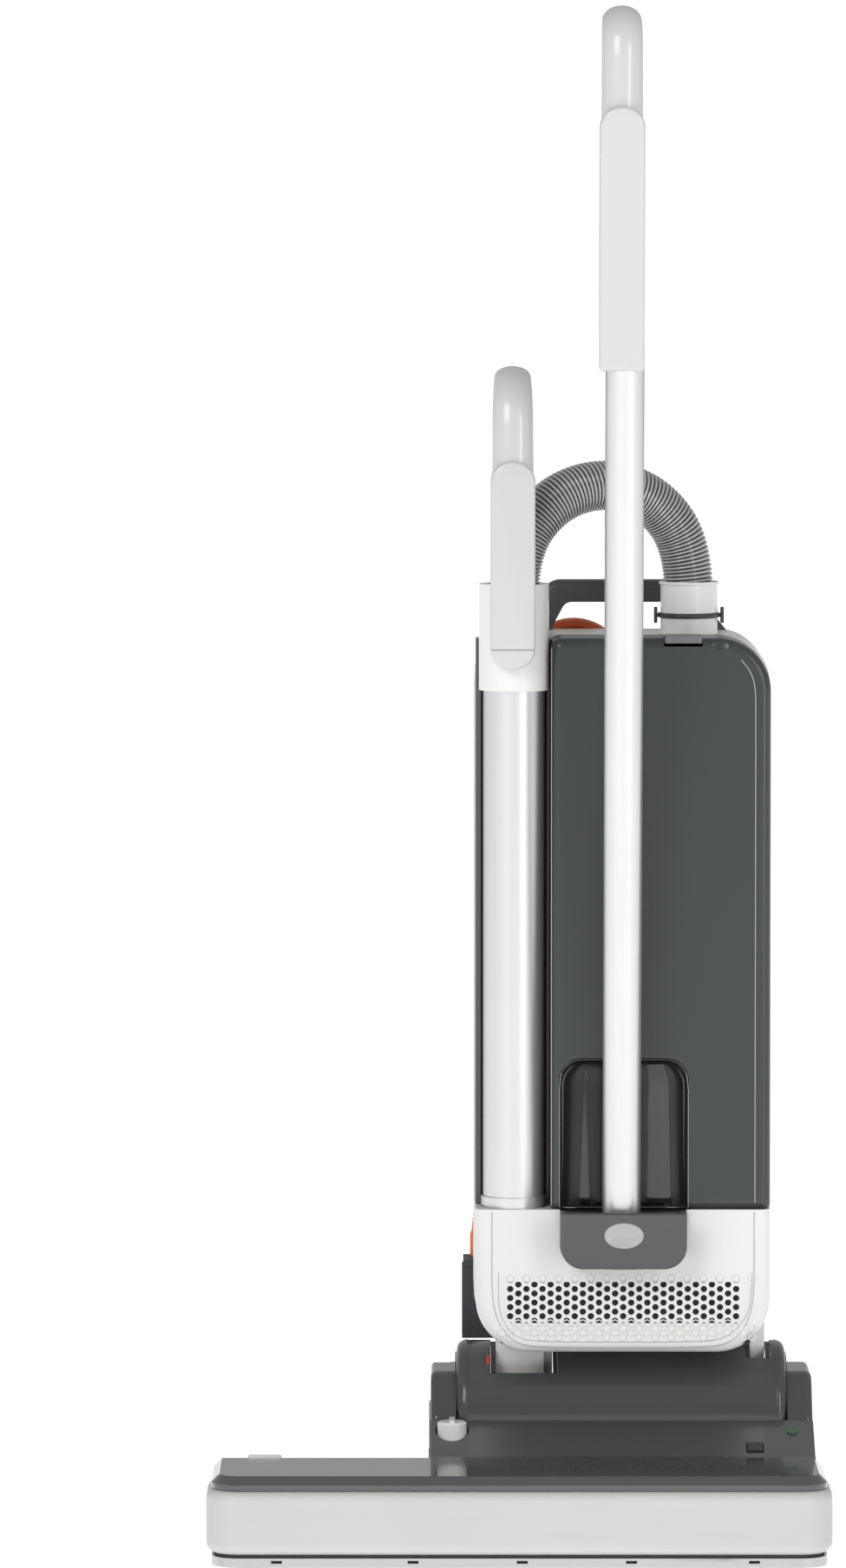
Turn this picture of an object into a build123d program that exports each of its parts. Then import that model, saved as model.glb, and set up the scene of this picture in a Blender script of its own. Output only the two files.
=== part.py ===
from build123d import *
import math
import os

# Upright vacuum cleaner, in millimetres. X runs to the right seen from the front and Z up.
# Depth (Y) is measured back from the bumper's front face, and save() centres it on the frame.

# Driving dimensions
DEPTH = 322.0  # bumper face to cord hook tips
HEAD_HALF = 230.0  # half the bumper's width
MID_X = 78.0  # middle plane of the body and of the head's rear part
HINGE_Y = 195.0
HINGE_Z = 88.0
HINGE_PIN_R = 6.0
WALL = 3.0
RUNNING = 0.06  # radial clearance of a running fit
GAP = 0.3  # clearance between pieces that move past each other

HEAD_FRONT_REAR = 96.0  # depth where the wide front part of the head ends
DECK_Z = 67.0
CONSOLE_FRONT = 101.0  # depth where the console starts to rise from the deck
CONSOLE_REAR = 142.0
CONSOLE_TOP = 88.0
REAR_HALF = 143.0  # half width of the head's rear part
HOOD_HALF = 123.5
HOOD_R = 53.0
TRAY_TOP = 60.0
SOLE_R = 20.0  # the head's front corners, at the sole and the deck
SLOTS = 26  # vents across the deck
SLOT_PITCH = 6.7

BRUSH_Y = 50.0
BRUSH_Z = 29.0
BRISTLE_R = 27.0
BRUSH_CORE_R = 18.0
BRUSH_SHAFT_R = 5.0
TUFTS = 38
TUFT_PITCH = 10.4
BRUSH_PULLEY_R = 17.5
MOTOR_PULLEY_R = 7.0
MOTOR_SHAFT_R = 4.0
MOTOR_Y = 128.0
MOTOR_Z = 40.0
PULLEY_X = (202.0, 214.0)
BELT_W = 10.0
BELT_FACES = (0.3, 1.9)  # the belt's inner and outer faces, out from each pulley

WHEEL_Y = 262.0
WHEEL_R = 43.0
WHEEL_W = 16.0
AXLE_R = 5.0
TYRE = 6.0
SPOKE_HOLES = 6
SPOKE_REACH = 22.0
ROLLER_X = 157.0
ROLLER_Y = 84.5
ROLLER_R = 7.0
ROLLER_PIN_R = 2.0
PEDAL = (228.0, 103.0)
PEDAL_PIN_R = 3.0
PEDAL_X = (-60.5, -50.5)

BODY_HALF = 109.5
BODY_FRONT = 115.0
SEAM_Y = 176.0
BODY_REAR = 280.0
BASE_Z = 142.5
BASE_TOP = 250.0
BODY_TOP = 675.0
CORNER_R = 40.0
COVER_LEFT = 24.0
COVER_HINGE = (117.0, 251.5)
HINGE_NIB_R = 0.7
COVER_LEAN = 1.5  # degrees
HOLE_PITCH = 6.0
HOLE_ROW = 6.8
HOLE_R = 2.4
FAN = (100.0, 205.0)  # X and depth of the suction motor's shaft
FAN_SHAFT_R = 4.0
POST_SLACK = 0.5  # how much slimmer a hook post is than the hank's inside
SWITCH = (279.0, 600.0)

TUBE_X = 76.5
TUBE_R = 14.25
TUBE_LEAN = 6.0  # degrees, forward
TUBE_Y = 106.0  # depth of the tube's axis at BASE_TOP
GRIP_Z = 878.0

WAND_X = -3.2
WAND_Y = 140.0
WAND_R = 22.8
COLLAR_R = 26.0
COLLAR_Z = (636.0, 715.0)

HOSE_R = 18.6
HOSE_END_Z = 698.0
HOSE_ARCH_Z = 714.0  # height of the arch's middle
CUFF_X = 128.5
CUFF_Y = 200.0
CUFF_R = 21.3
CUFF_BORE = 17.0
CUFF_Z = (674.2, 713.0)

CORD_R = 3.5
CORD_X = -27.3
CORD_Y = 288.0
CORD_EXIT_Z = 200.0
PLUG_X = 86.0
PLUG_Y = 297.0
HANK_X = 44.0
HANK_Z = (360.0, 640.0)
HANK_IN = 12.3
HANK_OUT = 40.3
HANK_Y = (282.0, 311.0)


def save(name, shape):
    """Write one sub-part, shifted from depths to the frame's own Y."""
    os.makedirs("parts", exist_ok=True)
    solids = (Pos(0, -DEPTH / 2, 0) * shape).solids()
    whole = solids[0] if len(solids) == 1 else Compound(children=list(solids))
    whole.label = name
    export_step(whole, f"parts/{name}.step")


def block(x, y, z, r=0.0):
    """A box between three (low, high) ranges, with its edges rounded by r."""
    solid = Pos(sum(x) / 2, sum(y) / 2, sum(z) / 2) * Box(x[1] - x[0], y[1] - y[0], z[1] - z[0])
    return fillet(solid.edges(), r) if r else solid


def rod_x(y, z, r, x):
    return Pos(sum(x) / 2, y, z) * Rot(0, 90, 0) * Cylinder(r, x[1] - x[0])


def rod_y(x, z, r, y):
    return Pos(x, sum(y) / 2, z) * Rot(90, 0, 0) * Cylinder(r, y[1] - y[0])


def rod_z(x, y, r, z):
    return Pos(x, y, sum(z) / 2) * Cylinder(r, z[1] - z[0])


def side_prism(points, x, radii=0.0):
    """A closed (depth, height) outline with rounded corners, extruded along X."""
    outline = FilletPolyline(*points, radius=radii, close=True)
    return Pos(x[0], 0, 0) * extrude(Plane.YZ * make_face(outline), x[1] - x[0])


def front_prism(points, y, radii=0.0):
    """A closed (X, height) outline with rounded corners, extruded along depth."""
    outline = FilletPolyline(*points, radius=radii, close=True)
    return Pos(0, y[1], 0) * extrude(Plane.XZ * make_face(outline), y[1] - y[0])


def front_slab(x, z, y, low_r=0.0, high_r=0.0):
    """A slab seen from the front, with its lower and upper corners rounded."""
    points = [(x[0], z[0]), (x[1], z[0]), (x[1], z[1]), (x[0], z[1])]
    return front_prism(points, y, [low_r, low_r, high_r, high_r])


def mirrored(shape):
    """The shape's twin on the other side of the body's middle plane."""
    return mirror(shape, about=Plane.YZ.offset(MID_X))


# Head

def front_rounded(x, y, z, r):
    """A box whose two front upright edges are rounded."""
    solid = block(x, y, z)
    return fillet(solid.edges().filter_by(Axis.Z).sort_by(Axis.Y)[:2], r)


def make_sole_plate():
    half = HEAD_HALF - 4
    pan = front_rounded((-half, half), (3, HEAD_FRONT_REAR), (0, 7), SOLE_R)
    pan -= front_rounded((-half + 2, half - 2), (5, HEAD_FRONT_REAR + 1), (2, 8), SOLE_R - 2)
    pan -= block((-206, 206), (20, 74), (-1, 3))
    for x in (-178, -78, 2, 82, 172):
        pan -= block((x - 4, x + 4), (0, 6), (3.2, 5.4))
    for side in (-1, 1):
        window = (side * ROLLER_X - 14, side * ROLLER_X + 14)
        pan -= block(window, (ROLLER_Y - 8.5, ROLLER_Y + 8.5), (-1, 3))
    save("sole_plate", pan)


def make_base_tray():
    half = HEAD_HALF - 7
    front = front_rounded((-half, half), (6, HEAD_FRONT_REAR), (2, TRAY_TOP - 4), 18)
    rear = block((MID_X - 142, MID_X + 142), (HEAD_FRONT_REAR, CONSOLE_REAR), (8, TRAY_TOP))
    deep = block((MID_X - HOOD_HALF, MID_X + HOOD_HALF), (CONSOLE_REAR - 1, 246), (8, TRAY_TOP))
    tray = front + rear + deep
    tray -= front_rounded((-half + 4, half - 4), (9.5, HEAD_FRONT_REAR - 4), (1, TRAY_TOP + 1), 14)
    tray -= block((MID_X - 139, MID_X + 139), (HEAD_FRONT_REAR, CONSOLE_REAR - 3), (11, TRAY_TOP + 1))
    tray -= block((MID_X - 120.5, MID_X + 120.5), (CONSOLE_REAR - 4, 243), (11, TRAY_TOP + 1))
    tray -= block((201, 216), (88, 100), (14, TRAY_TOP + 1))
    tray -= block((-39.5, -23.5), (88, 100), (28.5, 55.5))
    save("base_tray", tray)


def make_bumper():
    bar = block((-HEAD_HALF, HEAD_HALF), (0, 62), (9, 57))
    bar = fillet(bar.edges().filter_by(Axis.Z).sort_by(Axis.Y)[:2], 24)
    rim = bar.faces().filter_by(Axis.Z).edges()
    bar = fillet([e for e in rim if e.center().Y < 61], 8)
    bar -= front_rounded((-HEAD_HALF + 7, HEAD_HALF - 7), (6, 63), (0, 60), 18)
    save("bumper", bar)


def slope_point(y):
    """Height of the console's sloping face at a depth."""
    rise = CONSOLE_TOP - DECK_Z
    return DECK_Z + rise * (y - CONSOLE_FRONT) / (CONSOLE_REAR - CONSOLE_FRONT)


SLOPE = math.degrees(math.atan2(CONSOLE_TOP - DECK_Z, CONSOLE_REAR - CONSOLE_FRONT))


def on_slope(x, y):
    return Pos(x, y, slope_point(y)) * Rot(SLOPE, 0, 0)


KNOB = (-49.0, 131.0)
BUTTON = (176.5, 111.0)
LENS = (205.0, 129.0)
HOOD_END_R = 7.0
CHEEK_R = 5.0
CONSOLE = [(HEAD_FRONT_REAR - 2, TRAY_TOP), (HEAD_FRONT_REAR - 2, DECK_Z), (CONSOLE_FRONT, DECK_Z),
           (CONSOLE_REAR, CONSOLE_TOP), (CONSOLE_REAR, TRAY_TOP)]


def make_head_cover():
    half = HEAD_HALF - 4
    under = DECK_Z - WALL
    deck = front_rounded((-half, half), (3, HEAD_FRONT_REAR), (57.2, DECK_Z), SOLE_R)
    brim = [e for e in deck.faces().sort_by(Axis.Z)[-1].edges() if e.center().Y < HEAD_FRONT_REAR - 1]
    deck = chamfer(brim, 6)
    deck -= block((-half + 8, half - 8), (12, HEAD_FRONT_REAR + 1), (50, under))
    console = side_prism(CONSOLE, (MID_X - REAR_HALF, MID_X + REAR_HALF))
    inner = [(HEAD_FRONT_REAR + 1, 50), (HEAD_FRONT_REAR + 1, under), (CONSOLE_FRONT + 1, under),
             (CONSOLE_REAR - WALL, CONSOLE_TOP - 4.5), (CONSOLE_REAR - WALL, 50)]
    cover = deck + console
    cover -= side_prism(inner, (MID_X - REAR_HALF + WALL, MID_X + REAR_HALF - WALL))
    cover -= block((-200, 210), (HEAD_FRONT_REAR - 6, CONSOLE_FRONT + 1), (50, under))
    cover -= block((-half + 8, half - 8), (12, HEAD_FRONT_REAR - 2), (50, under))
    for i in range(SLOTS):
        left = -5.5 + SLOT_PITCH * i
        cover -= block((left, left + 3), (49.5, 52.5), (60, 70))
    cover -= block((33, 121), (75, 78), (60, 70))
    cover -= rod_z(*KNOB, 12.5, (74, 99))
    cover -= on_slope(*BUTTON) * Box(13, 12, 12)
    cover -= on_slope(*LENS) * Cylinder(4, 12)
    save("head_cover", cover)


def sector(start, stop, reach, x):
    """A wedge round the hinge between two angles, counted backwards from upright."""
    points = [(HINGE_Y, HINGE_Z)]
    steps = 4
    for i in range(steps + 1):
        a = math.radians(start + (stop - start) * i / steps)
        points.append((HINGE_Y + reach * math.sin(a), HINGE_Z + reach * math.cos(a)))
    return side_prism(points, x)


def hood_solid(r, x, low):
    half_disc = rod_x(HINGE_Y, HINGE_Z, r, x) - block((x[0] - 1, x[1] + 1), (100, 300), (0, HINGE_Z))
    return half_disc + block(x, (HINGE_Y - r, HINGE_Y + r), (low, HINGE_Z))


def make_neck_hood():
    ends = (MID_X - HOOD_HALF, MID_X + HOOD_HALF)
    hood = hood_solid(HOOD_R - 0.2, ends, TRAY_TOP)
    arcs = [e for e in hood.edges() if e.center().Z > HINGE_Z + 5 and e.geom_type == GeomType.CIRCLE]
    hood = fillet(arcs, HOOD_END_R)
    hood -= hood_solid(HOOD_R - 4, (ends[0] + HOOD_END_R, ends[1] - HOOD_END_R), TRAY_TOP - 1)
    hood -= block((ends[0] + 3, ends[0] + HOOD_END_R + 1), (165.5, 222.5), (TRAY_TOP - 1, 113.5))
    hood -= sector(-50, 90, 80, (-20, 30))
    hood -= sector(-34, 90, 80, (171.5, 190))
    hood -= rod_x(HINGE_Y, HINGE_Z, HINGE_PIN_R, (160, 230))
    save("neck_hood", hood)


def make_side_cheeks():
    profile = [(CONSOLE_REAR + 0.2, 8), (CONSOLE_REAR + 0.2, 90), (166, 121), (226, 121),
               (246, 98), (246, 60), (235, 8)]
    x = (MID_X - REAR_HALF, MID_X - HOOD_HALF - 0.5)
    blank = side_prism(profile, x, [6, 10, 16, 16, 8, 8, 6])
    blank = fillet(blank.faces().sort_by(Axis.X)[0].edges(), CHEEK_R)
    cheek = blank
    cheek -= rod_x(WHEEL_Y, WHEEL_R, WHEEL_R + 2.5, (-70, -49.5))
    arm = side_prism([(200, 20), (200, 66), (278, 66), (278, 20)], (-49.5, -46), [4, 4, 20, 20])
    cheek += arm
    cheek -= block((-61, -50), (216, 260), (86, 125))
    cheek -= rod_x(WHEEL_Y, WHEEL_R, AXLE_R, (-70, -40))
    cheek -= rod_x(*PEDAL, PEDAL_PIN_R, (-70, -40))
    right = mirrored(blank)
    right -= mirrored(rod_x(WHEEL_Y, WHEEL_R, WHEEL_R + 2.5, (-70, -49.5)))
    right += mirrored(arm)
    right -= mirrored(rod_x(WHEEL_Y, WHEEL_R, AXLE_R, (-70, -40)))
    right -= rod_x(HINGE_Y, HINGE_Z, HINGE_PIN_R, (190, 230))
    save("side_cheeks", Compound(children=[cheek.solid(), right.solid()]))


def make_steel_pins():
    axle = rod_x(WHEEL_Y, WHEEL_R, AXLE_R, (-66.5, -46))
    hinge_pin = rod_x(HINGE_Y, HINGE_Z, HINGE_PIN_R, (173, 222))
    pedal_pin = rod_x(*PEDAL, PEDAL_PIN_R, (-65, -46))
    save("steel_pins", Compound(children=[axle, mirrored(axle), hinge_pin, pedal_pin]))


def make_air_elbow():
    x = (-42, -21)
    elbow = block(x, (HEAD_FRONT_REAR, 222), (26, 58)) + block(x, (166, 222), (26, 113))
    inside = (-39.5, -28)
    elbow -= block(inside, (HEAD_FRONT_REAR - 1, 219.5), (28.5, 55.5))
    elbow -= block(inside, (168.5, 219.5), (28.5, 110.5))
    elbow -= rod_x(HINGE_Y, HINGE_Z, 19 + RUNNING, (-30, -20))
    elbow = elbow - block((-29, -23.5), (HEAD_FRONT_REAR - 1, 150), (28.5, 55.5))
    save("air_elbow", elbow)


def make_brush():
    core = rod_x(BRUSH_Y, BRUSH_Z, BRUSH_CORE_R, (-206, 199))
    core += rod_x(BRUSH_Y, BRUSH_Z, BRUSH_SHAFT_R, (-218.9, 218.9))
    save("brush_core", core)
    pulley = rod_x(BRUSH_Y, BRUSH_Z, BRUSH_PULLEY_R, PULLEY_X)
    pulley += rod_x(BRUSH_Y, BRUSH_Z, BRUSH_PULLEY_R + 2, (199.5, PULLEY_X[0]))
    pulley -= rod_x(BRUSH_Y, BRUSH_Z, BRUSH_SHAFT_R, (190, 220))
    save("brush_pulley", pulley)
    tufts = []
    root = BRUSH_CORE_R - 1.5
    for i in range(TUFTS):
        x = -196 + TUFT_PITCH * i
        for turn in (0, 180):
            tuft = Pos(0, 0, (root + BRISTLE_R) / 2) * Cylinder(2.2, BRISTLE_R - root)
            tufts.append(Pos(x, BRUSH_Y, BRUSH_Z) * Rot(turn + 5 * i, 0, 0) * tuft)
    save("brush_bristles", Compound(children=tufts))
    rings = []
    for x in ((-219, -209), (215.2, 219)):
        rings.append(rod_x(BRUSH_Y, BRUSH_Z, 11, x) - rod_x(BRUSH_Y, BRUSH_Z, BRUSH_SHAFT_R + RUNNING, x))
    save("brush_bearings", Compound(children=rings))


def make_brush_drive():
    motor = rod_x(MOTOR_Y, MOTOR_Z, 21, (70, 162))
    motor += rod_x(MOTOR_Y, MOTOR_Z, 12, (162, 172))
    motor -= rod_x(MOTOR_Y, MOTOR_Z, MOTOR_SHAFT_R + RUNNING, (150, 180))
    save("brush_motor", motor)
    pulley = rod_x(MOTOR_Y, MOTOR_Z, MOTOR_SHAFT_R, (152, 215))
    pulley += rod_x(MOTOR_Y, MOTOR_Z, MOTOR_PULLEY_R, PULLEY_X)
    save("motor_pulley", pulley)
    loops = []
    for extra in BELT_FACES:
        big = Pos(BRUSH_Y, BRUSH_Z) * Circle(BRUSH_PULLEY_R + extra)
        small = Pos(MOTOR_Y, MOTOR_Z) * Circle(MOTOR_PULLEY_R + extra)
        loops.append(make_hull(big.edges() + small.edges()))
    belt = Pos(PULLEY_X[0] + 1, 0, 0) * extrude(Plane.YZ * (loops[1] - loops[0]), BELT_W)
    save("drive_belt", belt)


def make_wheels():
    x = (MID_X - REAR_HALF - 1, MID_X - REAR_HALF - 1 + WHEEL_W)
    tyre = fillet(rod_x(WHEEL_Y, WHEEL_R, WHEEL_R, x).edges(), 3)
    tyre -= rod_x(WHEEL_Y, WHEEL_R, WHEEL_R - TYRE, x)
    hub = rod_x(WHEEL_Y, WHEEL_R, WHEEL_R - TYRE, (x[0] + 1, x[1]))
    hub -= rod_x(WHEEL_Y, WHEEL_R, WHEEL_R - TYRE - 4, (x[0], x[0] + 4))
    hub += rod_x(WHEEL_Y, WHEEL_R, 10, (x[0] + 1, x[0] + 6))
    for i in range(SPOKE_HOLES):
        a = math.tau * i / SPOKE_HOLES
        hole = (WHEEL_Y + SPOKE_REACH * math.cos(a), WHEEL_R + SPOKE_REACH * math.sin(a))
        hub -= rod_x(*hole, 5, (x[0], x[0] + 10))
    hub -= rod_x(WHEEL_Y, WHEEL_R, AXLE_R + RUNNING, (x[0] - 1, x[1] + 1))
    save("wheel_left", hub)
    save("tyre_left", tyre)
    save("wheel_right", mirrored(hub))
    save("tyre_right", mirrored(tyre))


def make_rollers():
    carrier = block((-172, 172), (79, 90), (17, 21))
    for side in (-1, 1):
        centre = side * ROLLER_X
        for low, high in ((centre - 13, centre - 9), (centre + 9, centre + 13)):
            ear = block((low, high), (79, 90), (5, 18))
            carrier += ear - rod_x(ROLLER_Y, ROLLER_R, ROLLER_PIN_R, (low, high))
        carrier += rod_x(ROLLER_Y, ROLLER_R, ROLLER_PIN_R, (centre - 13, centre + 13))
        ring = rod_x(ROLLER_Y, ROLLER_R, ROLLER_R, (centre - 8, centre + 8))
        ring -= rod_x(ROLLER_Y, ROLLER_R, ROLLER_PIN_R + RUNNING, (centre - 9, centre + 9))
        save("roller_left" if side < 0 else "roller_right", ring)
    save("roller_carrier", carrier)


def make_controls():
    knob = fillet(rod_z(*KNOB, 11, (75, 89)).edges().sort_by(Axis.Z)[-1:], 2)
    knob += block((KNOB[0] - 2, KNOB[0] + 2), (KNOB[1] - 9, KNOB[1] + 9), (88, 91))
    save("height_knob", knob)
    save("brush_button", on_slope(*BUTTON) * Pos(0, 0, -1.5) * Box(11.7, 10.4, 6))
    save("indicator_lens", on_slope(*LENS) * Pos(0, 0, -0.6) * Cylinder(4, 3.6))
    save("control_board", on_slope(145, 121) * Pos(0, 0, -8.3) * Box(70, 22, 1.6))
    pedal = block((-64, -47), (250, 288), (105, 111), 2.5)
    pedal += block(PEDAL_X, (226, 256), (PEDAL[1], 110))
    pedal += rod_x(*PEDAL, 7, PEDAL_X)
    pedal -= rod_x(*PEDAL, PEDAL_PIN_R + RUNNING, (-62, -48))
    save("release_pedal", pedal)


# Body

def body_outline(y, inset=0.0, z=(BASE_Z, BODY_TOP - 1), high_r=CORNER_R - 4):
    """The body's front outline, drawn in by an inset, between two depths."""
    x = (MID_X - BODY_HALF - 1 + inset, MID_X + BODY_HALF + 1 - inset)
    return front_slab(x, (z[0] + inset, z[1] - inset), y, CORNER_R - inset, max(high_r - inset, 0))


def tube_rod(r, low, high):
    """A round bar on the main tube's axis between two distances above its foot."""
    lean = Pos(TUBE_X, TUBE_Y, BASE_TOP) * Rot(TUBE_LEAN, 0, 0)
    return lean * Pos(0, 0, (low + high) / 2) * Cylinder(r, high - low)


def make_rear_housing():
    housing = body_outline((SEAM_Y, BODY_REAR))
    housing = fillet(housing.faces().sort_by(Axis.Y)[-1].edges(), 10)
    housing -= body_outline((SEAM_Y - 1, BODY_REAR - WALL), WALL)
    floor = body_outline((SEAM_Y, BODY_REAR - WALL), WALL) & block((-40, 200), (100, 300), (247, BASE_TOP))
    divider = block((20, 23), (SEAM_Y, BODY_REAR - WALL), (BASE_TOP, BODY_TOP - 4))
    housing += floor
    housing += divider
    housing -= block((-11, 15), (182, 208), (130, 158))
    housing -= rod_z(CUFF_X, CUFF_Y, CUFF_BORE, (640, 700))
    housing -= block((129, 151), (270, 290), (592, 608))
    save("rear_housing", housing)


def make_neck():
    shell = body_outline((SEAM_Y, BODY_REAR))
    neck = block((-16, 20), (178, 212), (HINGE_Z, 175)) + rod_x(HINGE_Y, HINGE_Z, 17, (-16, 20))
    neck += rod_x(HINGE_Y, HINGE_Z, 19, (-37.5, -16))
    neck += block((20, 26.5), (186, 204), (100, 160))
    neck -= shell
    neck -= rod_x(HINGE_Y, HINGE_Z, 15, (-40, 16.5))
    neck -= block((-12.5, 16.5), (181.5, 208.5), (HINGE_Z, 180))
    lug = block((175, 186), (183, 207), (HINGE_Z, 200)) + rod_x(HINGE_Y, HINGE_Z, 12, (175, 186))
    lug -= shell
    lug -= rod_x(HINGE_Y, HINGE_Z, HINGE_PIN_R + RUNNING, (170, 190))
    save("neck_and_lug", Compound(children=list(neck.solids()) + list(lug.solids())))


def socket_solid():
    plan = Line((31, 128), (31, 110)) + ThreePointArc((31, 110), (MID_X, 87), (125, 110))
    plan += Polyline((125, 110), (125, 128), (31, 128))
    cup = extrude(make_face(plan), 41)
    cup = Pos(0, 0, 209) * cup
    cup &= front_slab((31, 125), (209, BASE_TOP), (80, 130), 15)
    return cup


def make_handle_socket():
    cup = socket_solid() - tube_rod(TUBE_R + 0.08, -36, 10)
    save("handle_socket", cup)


GRILLE_X = (-12.0, 172.0)
GRILLE_Z = (151.0, 200.0)
GRILLE_R = 34.0
HOLES_Z = (165.0, 196.0)  # the band of the grille that is pierced


def make_motor_cover():
    x = (MID_X - BODY_HALF, MID_X + BODY_HALF)
    cover = front_slab(x, (BASE_Z, BASE_TOP), (BODY_FRONT, SEAM_Y), CORNER_R)
    front = cover.faces().sort_by(Axis.Y)[0]
    cover = fillet(front.edges().sort_by(Axis.Z)[:-1], 9)
    inner = (x[0] + WALL, x[1] - WALL)
    cover -= front_slab(inner, (BASE_Z + WALL, BASE_TOP - WALL), (BODY_FRONT + WALL, SEAM_Y + 1), 37)
    cover -= socket_solid()
    cover -= tube_rod(TUBE_R + 1, -5, 30)
    cover -= front_slab(GRILLE_X, GRILLE_Z, (100, 125), GRILLE_R)
    cover -= rod_z(WAND_X, WAND_Y, WAND_R + GAP, (233, 260))
    save("motor_cover", cover)


def make_exhaust_grille():
    plate = front_slab(GRILLE_X, GRILLE_Z, (BODY_FRONT + 0.4, BODY_FRONT + WALL), GRILLE_R)
    holes = []
    for column in range(29):
        x = -5.8 + HOLE_PITCH * column
        shift = HOLE_ROW / 2 * (column % 2)
        for row in range(6):
            holes.append(rod_y(x, 163.4 + HOLE_ROW * row + shift, HOLE_R, (110, 122)))
    band = block(GRILLE_X, (100, 130), HOLES_Z)
    cutters = [hole & band for hole in holes]
    plate -= [c for c in cutters if c is not None and c.volume > 1]
    save("exhaust_grille", plate)


def make_wand_duct():
    duct = block((-27, 20), (119, 213), (140, 246.5))
    duct &= body_outline((118, 214), WALL + 1.5)
    duct -= rod_z(WAND_X, WAND_Y, WAND_R + GAP, (234.5, 250))
    duct -= rod_z(WAND_X, WAND_Y, 19, (170, 236))
    duct -= block((-10, 14), (WAND_Y, 209), (130, 182))
    save("wand_duct", duct)


def make_suction():
    motor = rod_z(*FAN, 46, (152, 230)) - rod_z(*FAN, FAN_SHAFT_R + RUNNING, (215, 235))
    save("suction_motor", motor)
    fan = rod_z(*FAN, 42, (233, 244)) + rod_z(*FAN, FAN_SHAFT_R, (216, 234))
    save("fan_impeller", fan)
    save("exhaust_filter", block((30, 150), (121, 133), (152, 206)))


def make_wand_channel():
    panel = block((-31.5, COVER_LEFT - 0.4), (150, SEAM_Y - 0.2), (BASE_TOP + 0.5, BODY_TOP - 2))
    panel -= rod_z(WAND_X, WAND_Y, COLLAR_R + 0.6, (200, 700))
    save("wand_channel", panel)


def cover_solid(inset, rear):
    """The bag cover's outer form, or its inside when drawn in, with a front that leans back."""
    x = (COVER_LEFT + inset, MID_X + BODY_HALF - inset)
    z = (BASE_TOP + 0.6 + inset, BODY_TOP - inset)
    points = [(x[0], z[0]), (x[1], z[0]), (x[1], z[1]), (x[0], z[1])]
    solid = front_prism(points, (90, rear), [1, 3, CORNER_R - inset, 8 - inset])
    rise = 500 * math.tan(math.radians(COVER_LEAN))
    foot = BODY_FRONT + inset
    wedge = side_prism([(foot, BASE_TOP), (foot + rise, BASE_TOP + 500), (50, BASE_TOP + 500),
                        (50, 200), (foot, 200)], (-50, 250))
    return solid - wedge


def recess(grow, rear):
    x = (30.2 - grow, 126.8 + grow)
    return front_slab(x, (240, 363 + grow), (90, rear), 0, 17 + grow)


def make_bag_cover():
    outer = cover_solid(0, SEAM_Y - 0.5)
    face = outer.faces().sort_by(Axis.Y)[0]
    outer = fillet([e for e in face.edges() if e.center().Z > BASE_TOP + 2], 7)
    cover = outer - cover_solid(WALL, SEAM_Y + 1)
    cover += recess(WALL, 137) & outer
    cover -= recess(0, 134)
    cover -= block((108, 136.5), (126, 152), (663, 680))
    scoop = Pos(150, 104, 676) * Sphere(24)
    cover -= scoop & block((120, 180), (100, 128.5), (655, 680))
    for x in ((COVER_LEFT - 1, COVER_LEFT + 4), (MID_X + BODY_HALF - 4, MID_X + BODY_HALF + 1)):
        cover -= rod_x(*COVER_HINGE, HINGE_NIB_R, x)
    save("bag_cover", cover)
    save("cover_latch", block((108.4, 136.1), (126.5, 145), (671, 677.5), 1))


def make_inside():
    save("filter_bag", block((36, 175), (146, 266), (268, 640), 24))
    holder = block((92, 165), (180, BODY_REAR - WALL), (648, 652))
    save("bag_holder", holder - rod_z(CUFF_X, CUFF_Y, CUFF_BORE, (640, 660)))
    seal = front_slab((30, 181), (262, 668), (172, SEAM_Y - 0.1), 3, 30)
    seal -= front_slab((33, 178), (265, 665), (170, 180), 2, 27)
    save("cover_seal", seal)


def make_hose_cuff():
    cuff = rod_z(CUFF_X, CUFF_Y, CUFF_R, CUFF_Z) - rod_z(CUFF_X, CUFF_Y, CUFF_BORE, (670, 720))
    cuff -= rod_z(CUFF_X, CUFF_Y, HOSE_R, (HOSE_END_Z, 720))
    save("hose_cuff", cuff)
    strap = rod_z(CUFF_X, CUFF_Y, CUFF_R + 1.5, (684.5, 690))
    for side in (-1, 1):
        end = CUFF_X + side * 24
        strap += block((end - 3, end + 3), (CUFF_Y - 8, CUFF_Y + 8), (681, 694))
    strap -= rod_z(CUFF_X, CUFF_Y, CUFF_R, (670, 720))
    save("cuff_strap", strap)


def make_carry_handle():
    y = (254, 276)
    outer = [(-98, 652), (-69, 688), (-52, 711.5), (52, 711.5), (69, 688), (98, 652)]
    inner = [(-66, 640), (-48, 682), (-41, 695), (41, 695), (48, 682), (66, 640)]
    loop = front_prism([(MID_X + x, z) for x, z in outer], y, [0, 20, 14, 14, 20, 0])
    bar_edges = [e for e in loop.edges() if e.center().Z > 690 and 0.1 < abs(e.center().Y - 265)]
    loop = fillet(bar_edges, 5)
    loop -= front_prism([(MID_X + x, z) for x, z in inner], (250, 280), [0, 12, 8, 8, 12, 0])
    loop -= body_outline((SEAM_Y, BODY_REAR))
    save("carry_handle", loop)


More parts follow.
